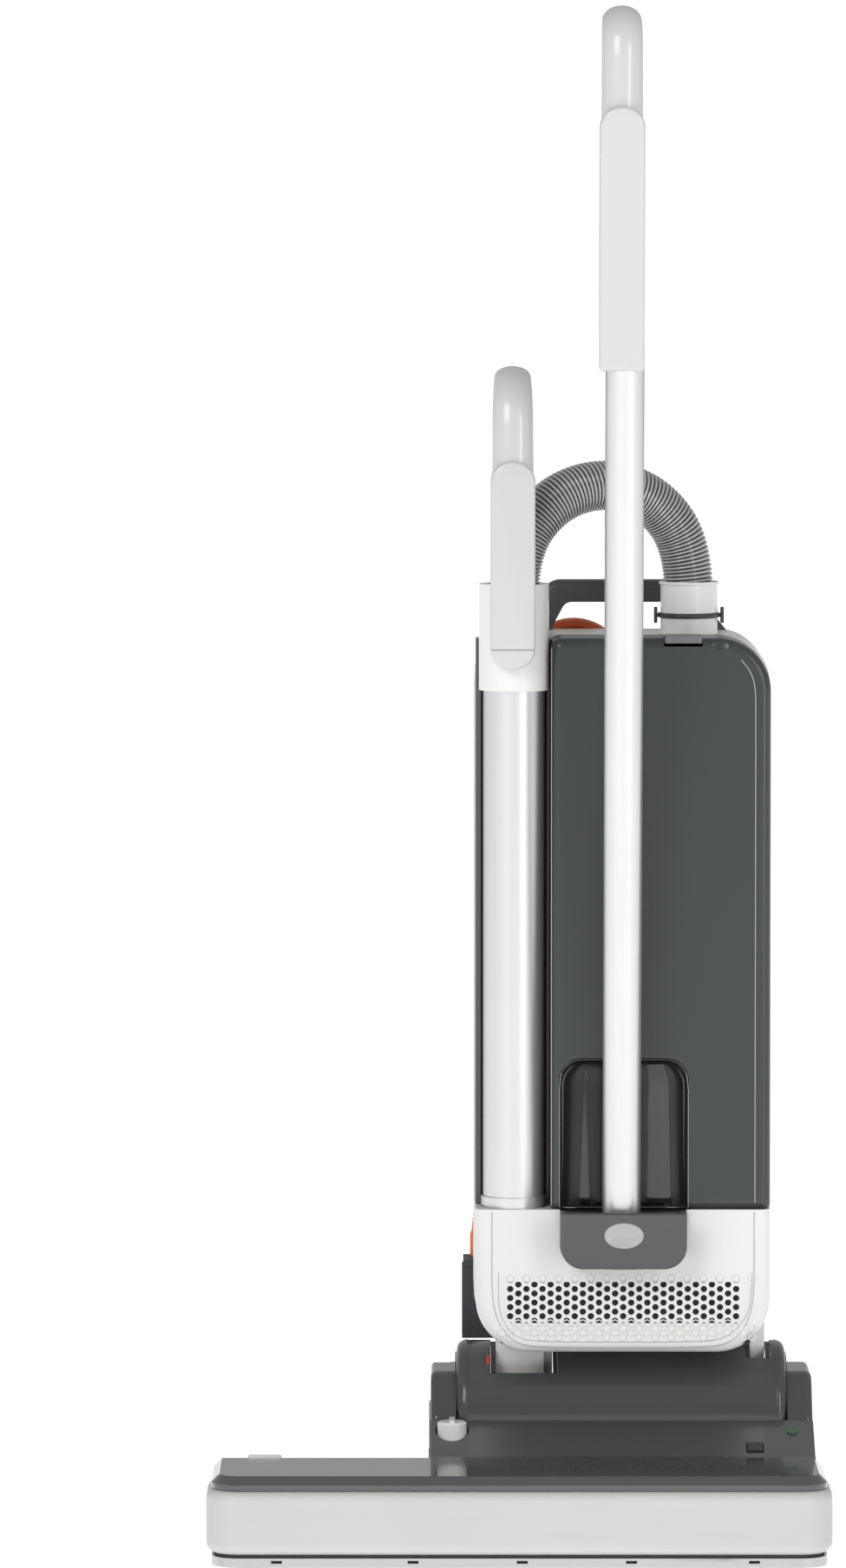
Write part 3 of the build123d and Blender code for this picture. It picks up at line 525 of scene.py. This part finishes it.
HINGE = (195.0, 88.0)  # depth and height of the recline axis
HOOD_R = 52.6
SHIELD_R = (49.5, 51.5)

GRIP_FOOT = (23, 877)  # depth and height of the main grip's foot
GRIP_LEAN = 20
GRIP_RISE = 193
GRIP_BEVEL = 2.8
LIMB_END = 12
WAND_FACE = 100.8
WAND_SEAM_FACE = 100.6

COVER_FOOT = (115.0, 250)  # depth and height of the bag cover's foot
COVER_LEAN = 1.5  # degrees
RECESS_X = (30.5, 126.5)
RECESS_Z = (251.2, 362.7)
RECESS_MIDDLE = 78.0
RECESS_HALF = 48
RECESS_FLOOR = 251.9
LIP = 20
LIP_POWER = 2.4
LINER_BACK = 133.7
LINER_DEPTH = 18.0

SOCKET_FACE = 87.0
CUP_MIDDLE = np.array([78.0, 229.5])
CUP_BRIM = 249.5
CUP_REACH = 41.0
CUP_RISE = 3.6
CUP_EDGE = 1.2
BADGE_AT = (78.0, 234.5)

GRILLE_FACE = 115.4
HEX_PITCH = 6.0
HEX_ROW = 6.8
HEX_LEFT = -5.8

COMB_LEFT = -5.5
COMB_PITCH = 6.7
COMB_RIBS = 26
BAND_EDGE = 0.4

HOSE_START = (-3.2, 140.0)
HOSE_END = (128.5, 200.0)
HOSE_Z = 698.0
HOSE_R = 18.6
HOSE_BASE = 714.0
HOSE_COLUMNS = 40
RIB_PITCH = 3.0
RIB_DEPTH = 2.7
RIB_POINTS = 10

LEAD = [(-27.3, 288, 200), (-27.3, 288, 228), (-24, 290, 262), (-17, 293, 298), (-6, 296, 326),
        (4, 292, 352)]
HANK_X = 44.0
HANK_LOW = 360.0
HANK_HIGH = 640.0
HANK_INSIDE = 12.3
HANK_FRONT = 282.0
CORD_D = 7.0
LAYERS = 4
ACROSS = 4
GROOVE_PITCH = 3.0
GROOVE_DEPTH = 0.45


# ---- Grips and trims ----

def rounded_outline(x, z, corners, arches=(0.0, 0.0)):
    """Closed outline in X and Z, counter-clockwise from the high right corner. The corners' radii are
    low right, high right, high left and low left. An arch is the height of a half ellipse that takes
    the place of both corners, first at the foot and then at the top."""
    points = []
    mid, half = sum(x) / 2, (x[1] - x[0]) / 2
    if arches[1]:
        for a in np.linspace(0, np.pi, 40):
            points.append((mid + half * math.cos(a), z[1] + arches[1] * math.sin(a)))
    else:
        points += corner(x[1] - corners[1], z[1] - corners[1], corners[1], 0)
        points += corner(x[0] + corners[2], z[1] - corners[2], corners[2], 90)
    if arches[0]:
        for a in np.linspace(np.pi, 2 * np.pi, 40):
            points.append((mid + half * math.cos(a), z[0] + arches[0] * math.sin(a)))
    else:
        points += corner(x[0] + corners[3], z[0] + corners[3], corners[3], 180)
        points += corner(x[1] - corners[0], z[0] + corners[0], corners[0], 270)
    return filled_in(np.array(points), 8.0)


def corner(x, z, r, start):
    turns = np.radians(np.linspace(start, start + 90, 12))
    return [(x + r * math.cos(a), z + r * math.sin(a)) for a in turns]


def filled_in(outline, longest):
    """The same closed outline with points added so that no run is longer than the longest."""
    points = []
    for a, b in zip(outline, np.roll(outline, -1, axis=0)):
        pieces = max(1, math.ceil(np.linalg.norm(b - a) / longest))
        points += [a + (b - a) * k / pieces for k in range(pieces)]
    return np.array(points)


def drawn_in(outline, inset):
    """The outline moved inwards by an inset along its own normals."""
    ahead, behind = np.roll(outline, -1, axis=0), np.roll(outline, 1, axis=0)
    run = ahead - behind
    normal = np.stack([-run[:, 1], run[:, 0]], axis=1)
    normal /= np.maximum(np.linalg.norm(normal, axis=1), 1e-9)[:, None]
    return outline + inset * normal


def stepped_shell(name, outline, face, steps, made, body):
    """Rings of an outline, each drawn in and set back from a face that depends on height."""
    rings = []
    for inset, back in steps:
        rings.append([at(x, face(z) + back, z) for x, z in drawn_in(outline, inset)])
    points, faces = capped_surface(np.array(rings))
    piece = add_mesh(name, points, faces, made, body)
    return piece


def bevel_steps(deep, bevel):
    """From the back to the face: straight sides, then a quarter circle over the edge."""
    steps = [(0.0, deep), (0.0, bevel)]
    for a in np.linspace(0, np.pi / 2, 7)[1:]:
        steps.append((bevel * (1 - np.cos(a)), bevel * (1 - np.sin(a))))
    return steps


def bead(name, route, r, made, body):
    """A thin round bead along a route of points."""
    path, _ = points_on_nurbs([at(*p) for p in route], 160)
    rings = tube_rings(path, np.full(160, r * MM), 6, (0, 1, 0.001))
    points, faces = capped_surface(rings)
    piece = add_mesh(name, points, faces, made, body)
    return piece


def limb(name, control, widths, depths, body, centre_x, count):
    """A limb swept along a side path, its half sizes following the path, with rounded ends."""
    path = smooth_path([(centre_x, d, z) for d, z in control], count)
    t = np.linspace(0, 1, count)
    knots = np.linspace(0, 1, len(widths))
    wide = np.interp(t, knots, widths) * MM
    deep = np.interp(t, knots, depths) * MM
    steps = run_lengths(path)
    left_to_end = np.minimum(steps, steps[-1] - steps)
    reach = LIMB_END * MM
    ease = np.sqrt(np.clip(1 - (1 - np.clip(left_to_end / reach, 0, 1)) ** 2, 0.0004, 1))
    rings = limb_rings(path, wide * ease, deep * ease)
    points, faces = capped_surface(rings)
    return add_mesh(name, points, faces, GRIP, body)


def main_front(z):
    """Depth of the main grip's flat face at a height: it leans forward as it rises."""
    return GRIP_FOOT[0] - GRIP_LEAN * (z - GRIP_FOOT[1]) / GRIP_RISE


def make_main_grip():
    x = (57.3, 90.3)
    control = [(46, 880), (30, 985), (24, 1040), (21, 1090), (22, 1120), (38, 1131), (62, 1129), (81, 1121)]
    bend = limb("grip_limb", control, (15.2, 15.4, 15.2, 15.0, 14.8, 13.5), (14, 15.5, 15, 14.5, 12, 8.5),
                "main_handle", sum(x) / 2, 110)
    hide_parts("handle_grip")
    outline = rounded_outline(x, (875.4, 1052), (3.0, 0, 0, 3.0), (0, 15.5))
    stepped_shell("grip_front", outline, main_front, bevel_steps(16, GRIP_BEVEL), GRIP, "main_handle")
    outline = rounded_outline((x[0] + 0.4, x[1] - 0.4), (875, 1040), (3.0, 0, 0, 3.0), (0, 13))
    stepped_shell("grip_flank", outline, lambda z: main_front(z) + 14, bevel_steps(20, GRIP_BEVEL),
                  GRIP, "main_handle")


def make_wand_grip():
    x = (-21.0, 12.2)
    control = [(116, 668), (116, 760), (116, 815), (118, 846), (127, 862), (141, 870), (149, 872.5)]
    bend = limb("wand_limb", control, (14.5, 15.3, 15.4, 15.3, 15.0, 13), (9, 10, 11, 12, 11, 6.5), "wand",
                sum(x) / 2, 90)
    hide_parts("wand_grip")
    outline = rounded_outline(x, (668, 791.5), (0, 0, 0, 0), (15, 15.5))
    stepped_shell("wand_front", outline, lambda z: WAND_FACE, bevel_steps(15, GRIP_BEVEL), GRIP, "wand")
    outline = rounded_outline((x[0] + 1.2, x[1] - 1.2), (667.2, 668.2), (0.2, 0.2, 0.2, 0.2))
    stepped_shell("wand_seam", outline, lambda z: WAND_SEAM_FACE, bevel_steps(0.6, 0.1), SEAM, "wand")


def cover_front(z):
    """Depth of the bag cover's front at a height: it leans back as it rises."""
    return COVER_FOOT[0] + math.tan(math.radians(COVER_LEAN)) * (z - COVER_FOOT[1])


def liner_point(x, z, back):
    """A point behind the cover's front, its set-back scaled to end at one upright plane."""
    front = cover_front(z)
    return at(x, front + back * (LINER_BACK - front) / LINER_DEPTH, z)


def bowl(x, z):
    """Set-back of the liner: a rounded lip 20 mm wide at the sides and top, then a shallow hollow
    across, lip * (9 + 7 (1 - u ** 2)), u from -1 to 1 over the width."""
    side = abs(x - RECESS_MIDDLE)
    beside, above = LIP - min(RECESS_HALF - side, LIP), LIP - min(RECESS_Z[1] - z, LIP)
    inward = max(0.0, 1 - math.hypot(beside, above) / LIP)
    lip = (1 - (1 - inward) ** LIP_POWER) ** (1 / LIP_POWER)
    return lip * (9 + 7 * (1 - (side / RECESS_HALF) ** 2))


def make_cover_trims():
    """The recess's concave glossy liner, darker than the cover as painted shade, and thin light beads along
    the cover's crease, its left edge and the recess's sides as painted highlights.
    """
    outline = rounded_outline(RECESS_X, RECESS_Z, (1.0, 16.7, 16.7, 1.0))
    foot = np.array([RECESS_MIDDLE, RECESS_Z[0]])
    rings = []
    for share, back in ((0.998, LINER_DEPTH), (1.0, 17.5), (1.0, 0.6), (0.992, 0.15)):
        places = foot + (outline - foot) * share
        rings.append([liner_point(x, z, back) for x, z in places])
    for share in np.cos(np.linspace(0.2, np.pi / 2 - 0.04, 24)):
        places = foot + (outline - foot) * share
        rings.append([liner_point(x, max(z, RECESS_FLOOR), bowl(x, z)) for x, z in places])
    points, faces = capped_surface(np.array(rings))
    # The liner's darker grey is painted shade in the recess.
    liner = add_mesh("recess_liner", points, faces, SHADED_RECESS_GLOSS, "cover")
    # The cover's right crease: a thin light bead, a painted highlight.
    run = [(175.9, 255), (175.9, 400), (175.9, 560), (175.9, 622), (175.6, 640), (171.5, 652),
           (165, 659)]
    bead("cover_crease_highlight", [(x, cover_front(z) - 0.05, z) for x, z in run], 0.34, EDGE, "cover")
    # The cover's left edge: a thin light bead, a painted highlight.
    run = [(24.6, 253), (24.6, 400), (24.6, 560), (24.6, 668)]
    bead("cover_rim_highlight", [(x, cover_front(z) + 2.2, z) for x, z in run], 0.35, BADGE_AND_HIGHLIGHT, "cover")
    # The recess's side edges: thin light beads, painted highlights.
    for side, x in (("left", 30.6), ("right", 126.4)):
        run = [(x, 252), (x, 290), (x, 330), (x, 343), (x + (1.5 if x < RECESS_MIDDLE else -1.5), 352)]
        bead("recess_rim_highlight_" + side, [(a, cover_front(z) - 0.02, z) for a, z in run], 0.22, BADGE_AND_HIGHLIGHT, "cover")


def cup_bulge(z):
    """How far the cup's face stands out at a height: a quarter ellipse from its foot to its brim."""
    return CUP_RISE * math.sqrt(max(0.0, 1 - ((CUP_BRIM - z) / CUP_REACH) ** 2))


def make_base_trims():
    """The cup's crowned glossy front, and the panel's fine darker outlines: round the panel a painted shade
    line along its crease, and one round the grille.
    """
    outline = rounded_outline((31.3, 124.7), (209.3, 251.8), (17, 1.5, 1.5, 17))
    rings = []
    for k, share in enumerate([1.0, 1.0, 0.985, 0.96] + list(np.linspace(0.9, 0.05, 14))):
        ring = CUP_MIDDLE + (outline - CUP_MIDDLE) * share
        rise = (0.0, 0.6, 0.95, 1.0)[min(k, 3)]
        back = CUP_EDGE if k == 0 else 0
        rings.append([at(x, SOCKET_FACE + back - rise * cup_bulge(z), z) for x, z in ring])
    points, faces = capped_surface(np.array(rings))
    add_mesh("socket_front", points, faces, SOCKET, "upright")
    # Painted shade: a darker bead along the crease round the front panel.
    run = [(-19.5, 248), (-19.5, 215), (-19.5, 184), (-15, 165), (-3, 150), (18, 146.5), (78, 146),
           (138, 146.5), (159, 150), (171, 165), (175.5, 184), (175.5, 215), (175.5, 248)]
    bead("panel_shade_line", [(x, 114.9, z) for x, z in run], 0.35, EDGE, "upright")
    run = [(-14.6, 203), (-14.6, 190), (-14, 172), (-4, 155), (14, 151), (78, 150.8), (140, 151), (158, 155),
           (172, 172), (174, 190), (174, 203)]
    bead("grille_line", [(x, 114.95, z) for x, z in run], 0.3, EDGE, "upright")


def shield(name, x, angles):
    """A dirt shield round the hinge: a thin arc between two angles and two X values."""
    t = np.radians(np.linspace(*angles, 28))
    inner, outer = SHIELD_R
    rings = []
    for r, edge in ((inner, x[0]), (outer, x[0]), (outer, x[1]), (inner, x[1])):
        rings.append([at(edge, HINGE[0] + r * math.sin(a), HINGE[1] + r * math.cos(a)) for a in t])
    loops = np.array(rings).transpose(1, 0, 2)[:, ::-1]
    points, faces = capped_surface(loops)
    piece = add_mesh(name, points, faces, BASE, "upright", smooth=False)


def make_shields():
    for name, x, first in (("neck_left", (-19.85, -16.1), -48), ("neck_right", (26.6, 29.85), -48),
                           ("lug_left", (171.65, 174.9), -32), ("lug_right", (186.1, 189.85), -32)):
        shield("shield_" + name, x, (first, 20))


def ring_band(name, centre, radius, low, high, thick, made, body, columns=64):
    """A round band between two heights, its outer edges cut back, closed into a loop of rings."""
    a = np.linspace(0, 2 * np.pi, columns, endpoint=False)
    rings = []
    for r, z in ((radius - thick, low), (radius - BAND_EDGE, low), (radius, low + BAND_EDGE),
                 (radius, high - BAND_EDGE), (radius - BAND_EDGE, high), (radius - thick, high)):
        rings.append([at(centre[0] + r * math.cos(t), centre[1] + r * math.sin(t), z) for t in a])
    faces = grid_faces(len(rings), columns)
    last = (len(rings) - 1) * columns
    for c in range(columns):
        n = (c + 1) % columns
        faces.append([last + c, last + n, n, c])
    return add_mesh(name, np.array(rings).reshape(-1, 3), faces, made, body)


def soft_form(x, depth, z, r):
    """Points and faces of a block that rounds into its ends, of superellipse rings
    |u| ** 6 + |v| ** 6 = 1."""
    centre = [(a + b) / 2 for a, b in (x, depth, z)]
    half = [(b - a) / 2 for a, b in (x, depth, z)]
    t = np.linspace(0, 2 * np.pi, 48, endpoint=False)
    c = np.sign(np.cos(t)) * np.abs(np.cos(t)) ** (1 / 3)
    s = np.sign(np.sin(t)) * np.abs(np.sin(t)) ** (1 / 3)
    rings = []
    turns = np.linspace(0, np.pi / 2, 5)
    levels = [(half[2] - r + r * math.sin(a), r * (1 - math.cos(a))) for a in turns]
    levels = [(-h, inset) for h, inset in levels[::-1]] + levels
    for h, inset in levels:
        rings.append(np.stack([centre[0] + (half[0] - inset) * c, centre[1] + (half[1] - inset) * s,
                               np.full(48, centre[2] + h)], axis=1))
    return capped_surface(placed(rings))


def soft_block(name, x, depth, z, r, made, body):
    points, faces = soft_form(x, depth, z, r)
    return add_mesh(name, points, faces, made, body)


def make_cuff_strap():
    band = ring_band("strap_band", HOSE_END, 22.6, 686.4, 690.2, 1.6, BLACK, "upright")
    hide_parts("cuff_strap")
    for side, x in (("left", 103.6), ("right", 153.4)):
        bar = soft_block("strap_tee_" + side, (x - 1.3, x + 1.3), (HOSE_END[1] - 3, HOSE_END[1] + 3),
                         (682.3, 694.3), 0.7, BLACK, "upright")
        inner = HOSE_END[0] + (22.2 if x > HOSE_END[0] else -22.2)
        stem = soft_block("strap_stem_" + side, (min(x, inner), max(x, inner)),
                          (HOSE_END[1] - 2.5, HOSE_END[1] + 2.5), (686.8, 689.8), 0.6, BLACK, "upright")
    lip = ring_band("cuff_lip", HOSE_END, 22.4, 711.2, 713.6, 1.6, LIGHT, "upright")


def make_hex_relief():
    """Low hexagon rims round the grille's holes: rings of six corners with a crowned top."""
    points, faces = [], []
    corners = np.radians(np.arange(6) * 60 + 30)
    for i in range(-1, 31):
        for k, z in enumerate((154.6, 161.4, 198.6)):
            x = HEX_LEFT + HEX_PITCH * i
            dz = HEX_ROW / 2 if i % 2 else 0.0
            if z + dz > 200.5 or (k == 2 and dz):
                continue
            add_hexagon(points, faces, x, z + dz, corners)
    relief = add_mesh("grille_relief", points, faces, LIGHT, "upright", smooth=False)


def add_hexagon(points, faces, x, z, corners):
    start = len(points)
    for r, back in ((3.45, 0.1), (3.1, -0.9), (2.7, -0.9), (2.2, 0.1)):
        for a in corners:
            points.append(at(x + r * math.cos(a), GRILLE_FACE + back, z + r * math.sin(a)))
    for row in range(3):
        for c in range(6):
            n = (c + 1) % 6
            a, b = start + row * 6 + c, start + row * 6 + n
            faces.append((a, b, b + 6, a + 6))


def make_badge():
    """A blank oval plate on the handle's cup: rings of an ellipse drawn in towards a crowned face."""
    t = np.linspace(0, 2 * np.pi, 64, endpoint=False)
    rings = []
    for wide, tall, back in ((14.6, 9.6, -2.0), (14.6, 9.6, -3.5), (14.0, 9.0, -3.9), (12.9, 7.9, -3.9),
                             (12.5, 7.5, -3.6)):
        rings.append(np.stack([BADGE_AT[0] + wide * np.cos(t), np.full(64, SOCKET_FACE + back),
                               BADGE_AT[1] + tall * np.sin(t)], axis=1))
    points, faces = capped_surface(placed(rings))
    badge = add_mesh("socket_badge", points, faces, BADGE_AND_HIGHLIGHT, "upright")


def half_disc(name, radius, x, foot, made):
    """A disc round the hinge between two X values, its lower half squared off down to a foot."""
    t = np.radians(np.linspace(-90, 90, 40))
    edge = [(HINGE[0] + radius * math.sin(a), HINGE[1] + radius * math.cos(a)) for a in t]
    edge = [(HINGE[0] - radius, foot)] + edge + [(HINGE[0] + radius, foot)]
    rings = np.array([[at(side, depth, z) for depth, z in edge] for side in x])
    points, faces = capped_surface(rings)
    add_mesh(name, points, faces, made, "head", smooth=False)


def hood_rim(name, x):
    """A raised bead over the hood at one end, from its front foot over to its back."""
    t = np.radians(np.linspace(-90, 90, 24))
    run = [(x, HINGE[0] + HOOD_R * math.sin(a), HINGE[1] + HOOD_R * math.cos(a)) for a in t]
    bead(name, [(x, run[0][1], 66.0)] + run + [(x, run[-1][1], 66.0)], 0.9, HEAD, "head")


def make_head_comb():
    """The ribs of the deck's vents: low rounded bars in a row, and one long bar behind them."""
    lefts = COMB_LEFT + COMB_PITCH * np.arange(COMB_RIBS)
    places = [((left - 0.2, left + 3.2), (49.2, 52.8)) for left in lefts]
    places.append(((32.8, 121.2), (74.8, 78.2)))
    points, faces = [], []
    for x, depth in places:
        more, joined = soft_form(x, depth, (66.2, 68.3), 0.5)
        faces += [[len(points) + k for k in face] for face in joined]
        points += list(more)
    add_mesh("deck_comb", points, faces, BLACK, "head")


def make_head_trims():
    half_disc("seam_left", 44.0, (-46.4, -45.1), 62.0, BLACK)
    half_disc("seam_right", 44.0, (201.1, 202.4), 62.0, BLACK)
    hood_rim("hood_rim_left", -38.2)
    hood_rim("hood_rim_right", 194.2)
    make_head_comb()
    backing = soft_block("grille_backing", (-13.0, 173.0), (118.4, 119.4), (149.5, 201.5), 0.4, FOAM,
                         "upright")
    insert = soft_block("deck_insert", (-200.8, -175.6), (91.5, 98.2), (62, 69.2), 1.2, LIGHT, "head")
    lever = soft_block("neck_lever", (-23.6, -20.6), (160, 172), (116, 134), 1.0, RED, "upright")


# ---- Flexible pieces ----

def with_groove_shade(base):
    """The hose's plastic with painted shade: darker in the grooves by the mesh's own crest value."""
    nodes, links = base.node_tree.nodes, base.node_tree.links
    shader = nodes["Principled BSDF"]
    shown = shader.inputs["Base Color"].links[0].from_socket
    crest = nodes.new("ShaderNodeAttribute")
    crest.attribute_name = "crest"
    # Painted shade: near black in the grooves, the plastic's own grey on the crests.
    depth = math_node(nodes, links, "POWER", crest.outputs["Fac"], 4.0)
    links.new(mix_colour(nodes, links, depth, (0.02, 0.02, 0.021, 1), shown), shader.inputs["Base Color"])
    return base


def hose_route():
    """Control points of the half circle of tangent runs from the wand's collar to the cuff."""
    dx, dy = HOSE_END[0] - HOSE_START[0], HOSE_END[1] - HOSE_START[1]
    arch = math.hypot(dx, dy) / 2
    turns = 5
    step = math.pi / turns
    points = [at(*HOSE_START, HOSE_Z)]
    for i in range(turns):
        a = step * (i + 0.5)
        reach = 0.5 - 0.5 * math.cos(a) / math.cos(step / 2)
        height = HOSE_BASE + arch * math.sin(a) / math.cos(step / 2)
        points.append(at(HOSE_START[0] + dx * reach, HOSE_START[1] + dy * reach, height))
    points.append(at(*HOSE_END, HOSE_Z))
    return points


def make_hose():
    """Ribbed hose: each rib is half an ellipse, r = R - d + d sqrt(1 - (2 u)^2), u from -0.5 to 0.5."""
    route = hose_route()
    guide, length = points_on_nurbs(route, 60)
    ribs = round(length / (RIB_PITCH * MM))
    path, _ = points_on_nurbs(route, ribs * RIB_POINTS + 1)
    s = np.linspace(0, ribs, len(path))
    wave = np.sqrt(1 - 0.98 * (2 * np.abs((s % 1) - 0.5)) ** 2)
    radius = (HOSE_R - RIB_DEPTH + RIB_DEPTH * wave) * MM
    across = np.array(HOSE_END) - np.array(HOSE_START)
    rings = tube_rings(path, radius, HOSE_COLUMNS, (-across[1], across[0], 0))
    points, faces = capped_surface(rings)
    hose = add_mesh("ribbed_hose", points, faces, with_groove_shade(HOSE), None)
    crest = hose.data.attributes.new("crest", "FLOAT", "POINT")
    crest.data.foreach_set("value", np.repeat(wave, HOSE_COLUMNS).astype(np.float32))
    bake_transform(hose)
    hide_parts("suction_hose")


def relief(name, path, radii):
    """A tapered sleeve on a cord: radii fall from foot to tip, with shallow grooves between."""
    steps = run_lengths(path)
    taper = np.interp(steps, [0, steps[-1]], radii)
    groove = GROOVE_DEPTH * (np.sin(2 * np.pi * steps / (GROOVE_PITCH * MM)) > 0.3)
    ends = np.minimum(steps, steps[-1] - steps)
    rings = tube_rings(path, (taper - np.where(ends > 1.5 * MM, groove, 0.0)) * MM, 24, (0, 1, 0.001))
    points, faces = capped_surface(rings)
    add_mesh(name, points, faces, CORD, "upright")


def make_reliefs():
    lead, _ = points_on_nurbs([at(*p) for p in LEAD], 400)
    heights = lead[:, 2] / MM
    relief("lead_relief", lead[(heights > 209.8) & (heights < 243)], (7.0, 4.2))
    z = np.linspace(311.5, 346, 100)
    relief("plug_relief", np.array([at(86.0, 297.0, h) for h in z]), (7.6, 4.9))


def turn_point(k, r, y):
    """Point k of 16 round one turn: up the left leg, over the top, down the right and under."""
    legs = (400.0, 500.0, 600.0)
    arcs = (162.0, 126.0, 90.0, 54.0, 18.0)
    out = r / math.cos(math.radians(18))
    if k < 3:
        return (HANK_X - r, y, legs[k])
    if k < 8:
        a = math.radians(arcs[k - 3])
        return (HANK_X + out * math.cos(a), y, HANK_HIGH + out * math.sin(a))
    if k < 11:
        return (HANK_X + r, y, legs[10 - k])
    a = math.radians(-arcs[15 - k])
    return (HANK_X + out * math.cos(a), y, HANK_LOW + out * math.sin(a))


def hank_points():
    """The hank's turns, laid side by side and in layers from the posts outwards."""
    places = []
    for layer in range(LAYERS):
        order = range(ACROSS) if layer % 2 == 0 else reversed(range(ACROSS))
        for slot in order:
            places.append((HANK_INSIDE + CORD_D * (layer + 0.5), HANK_FRONT + 3.7 + 7.15 * slot))
    points = []
    for i, (r, y) in enumerate(places):
        r_next, y_next = places[min(i + 1, len(places) - 1)]
        last = i == len(places) - 1
        for k in range(11 if last else 16):
            part = max(0.0, (k - 10) / 6)
            sway = 0.35 * math.sin(2.3 * i + 1.7 * k)
            points.append(turn_point(k, r + (r_next - r) * part + 0.3 * sway, y + (y_next - y) * part + sway))
    return points


def make_mains_cord():
    route = [at(*p) for p in LEAD + hank_points() + [(83.0, 297, 378), (86, 297, 348)]]
    cord = nurbs_curve("mains_cord", route, CORD_D / 2 * MM)
    cord.data.materials.append(CORD)
    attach(cord, "upright")
    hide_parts("mains_cord_lead", "mains_cord_hank")
    _, length = points_on_nurbs(route, 10)


make_camera()
finish_nodes()
make_main_grip()
make_wand_grip()
make_cover_trims()
make_base_trims()
make_shields()
make_cuff_strap()
make_hex_relief()
make_badge()
make_head_trims()
make_hose()
make_mains_cord()
make_reliefs()
make_studio(FLOOR)
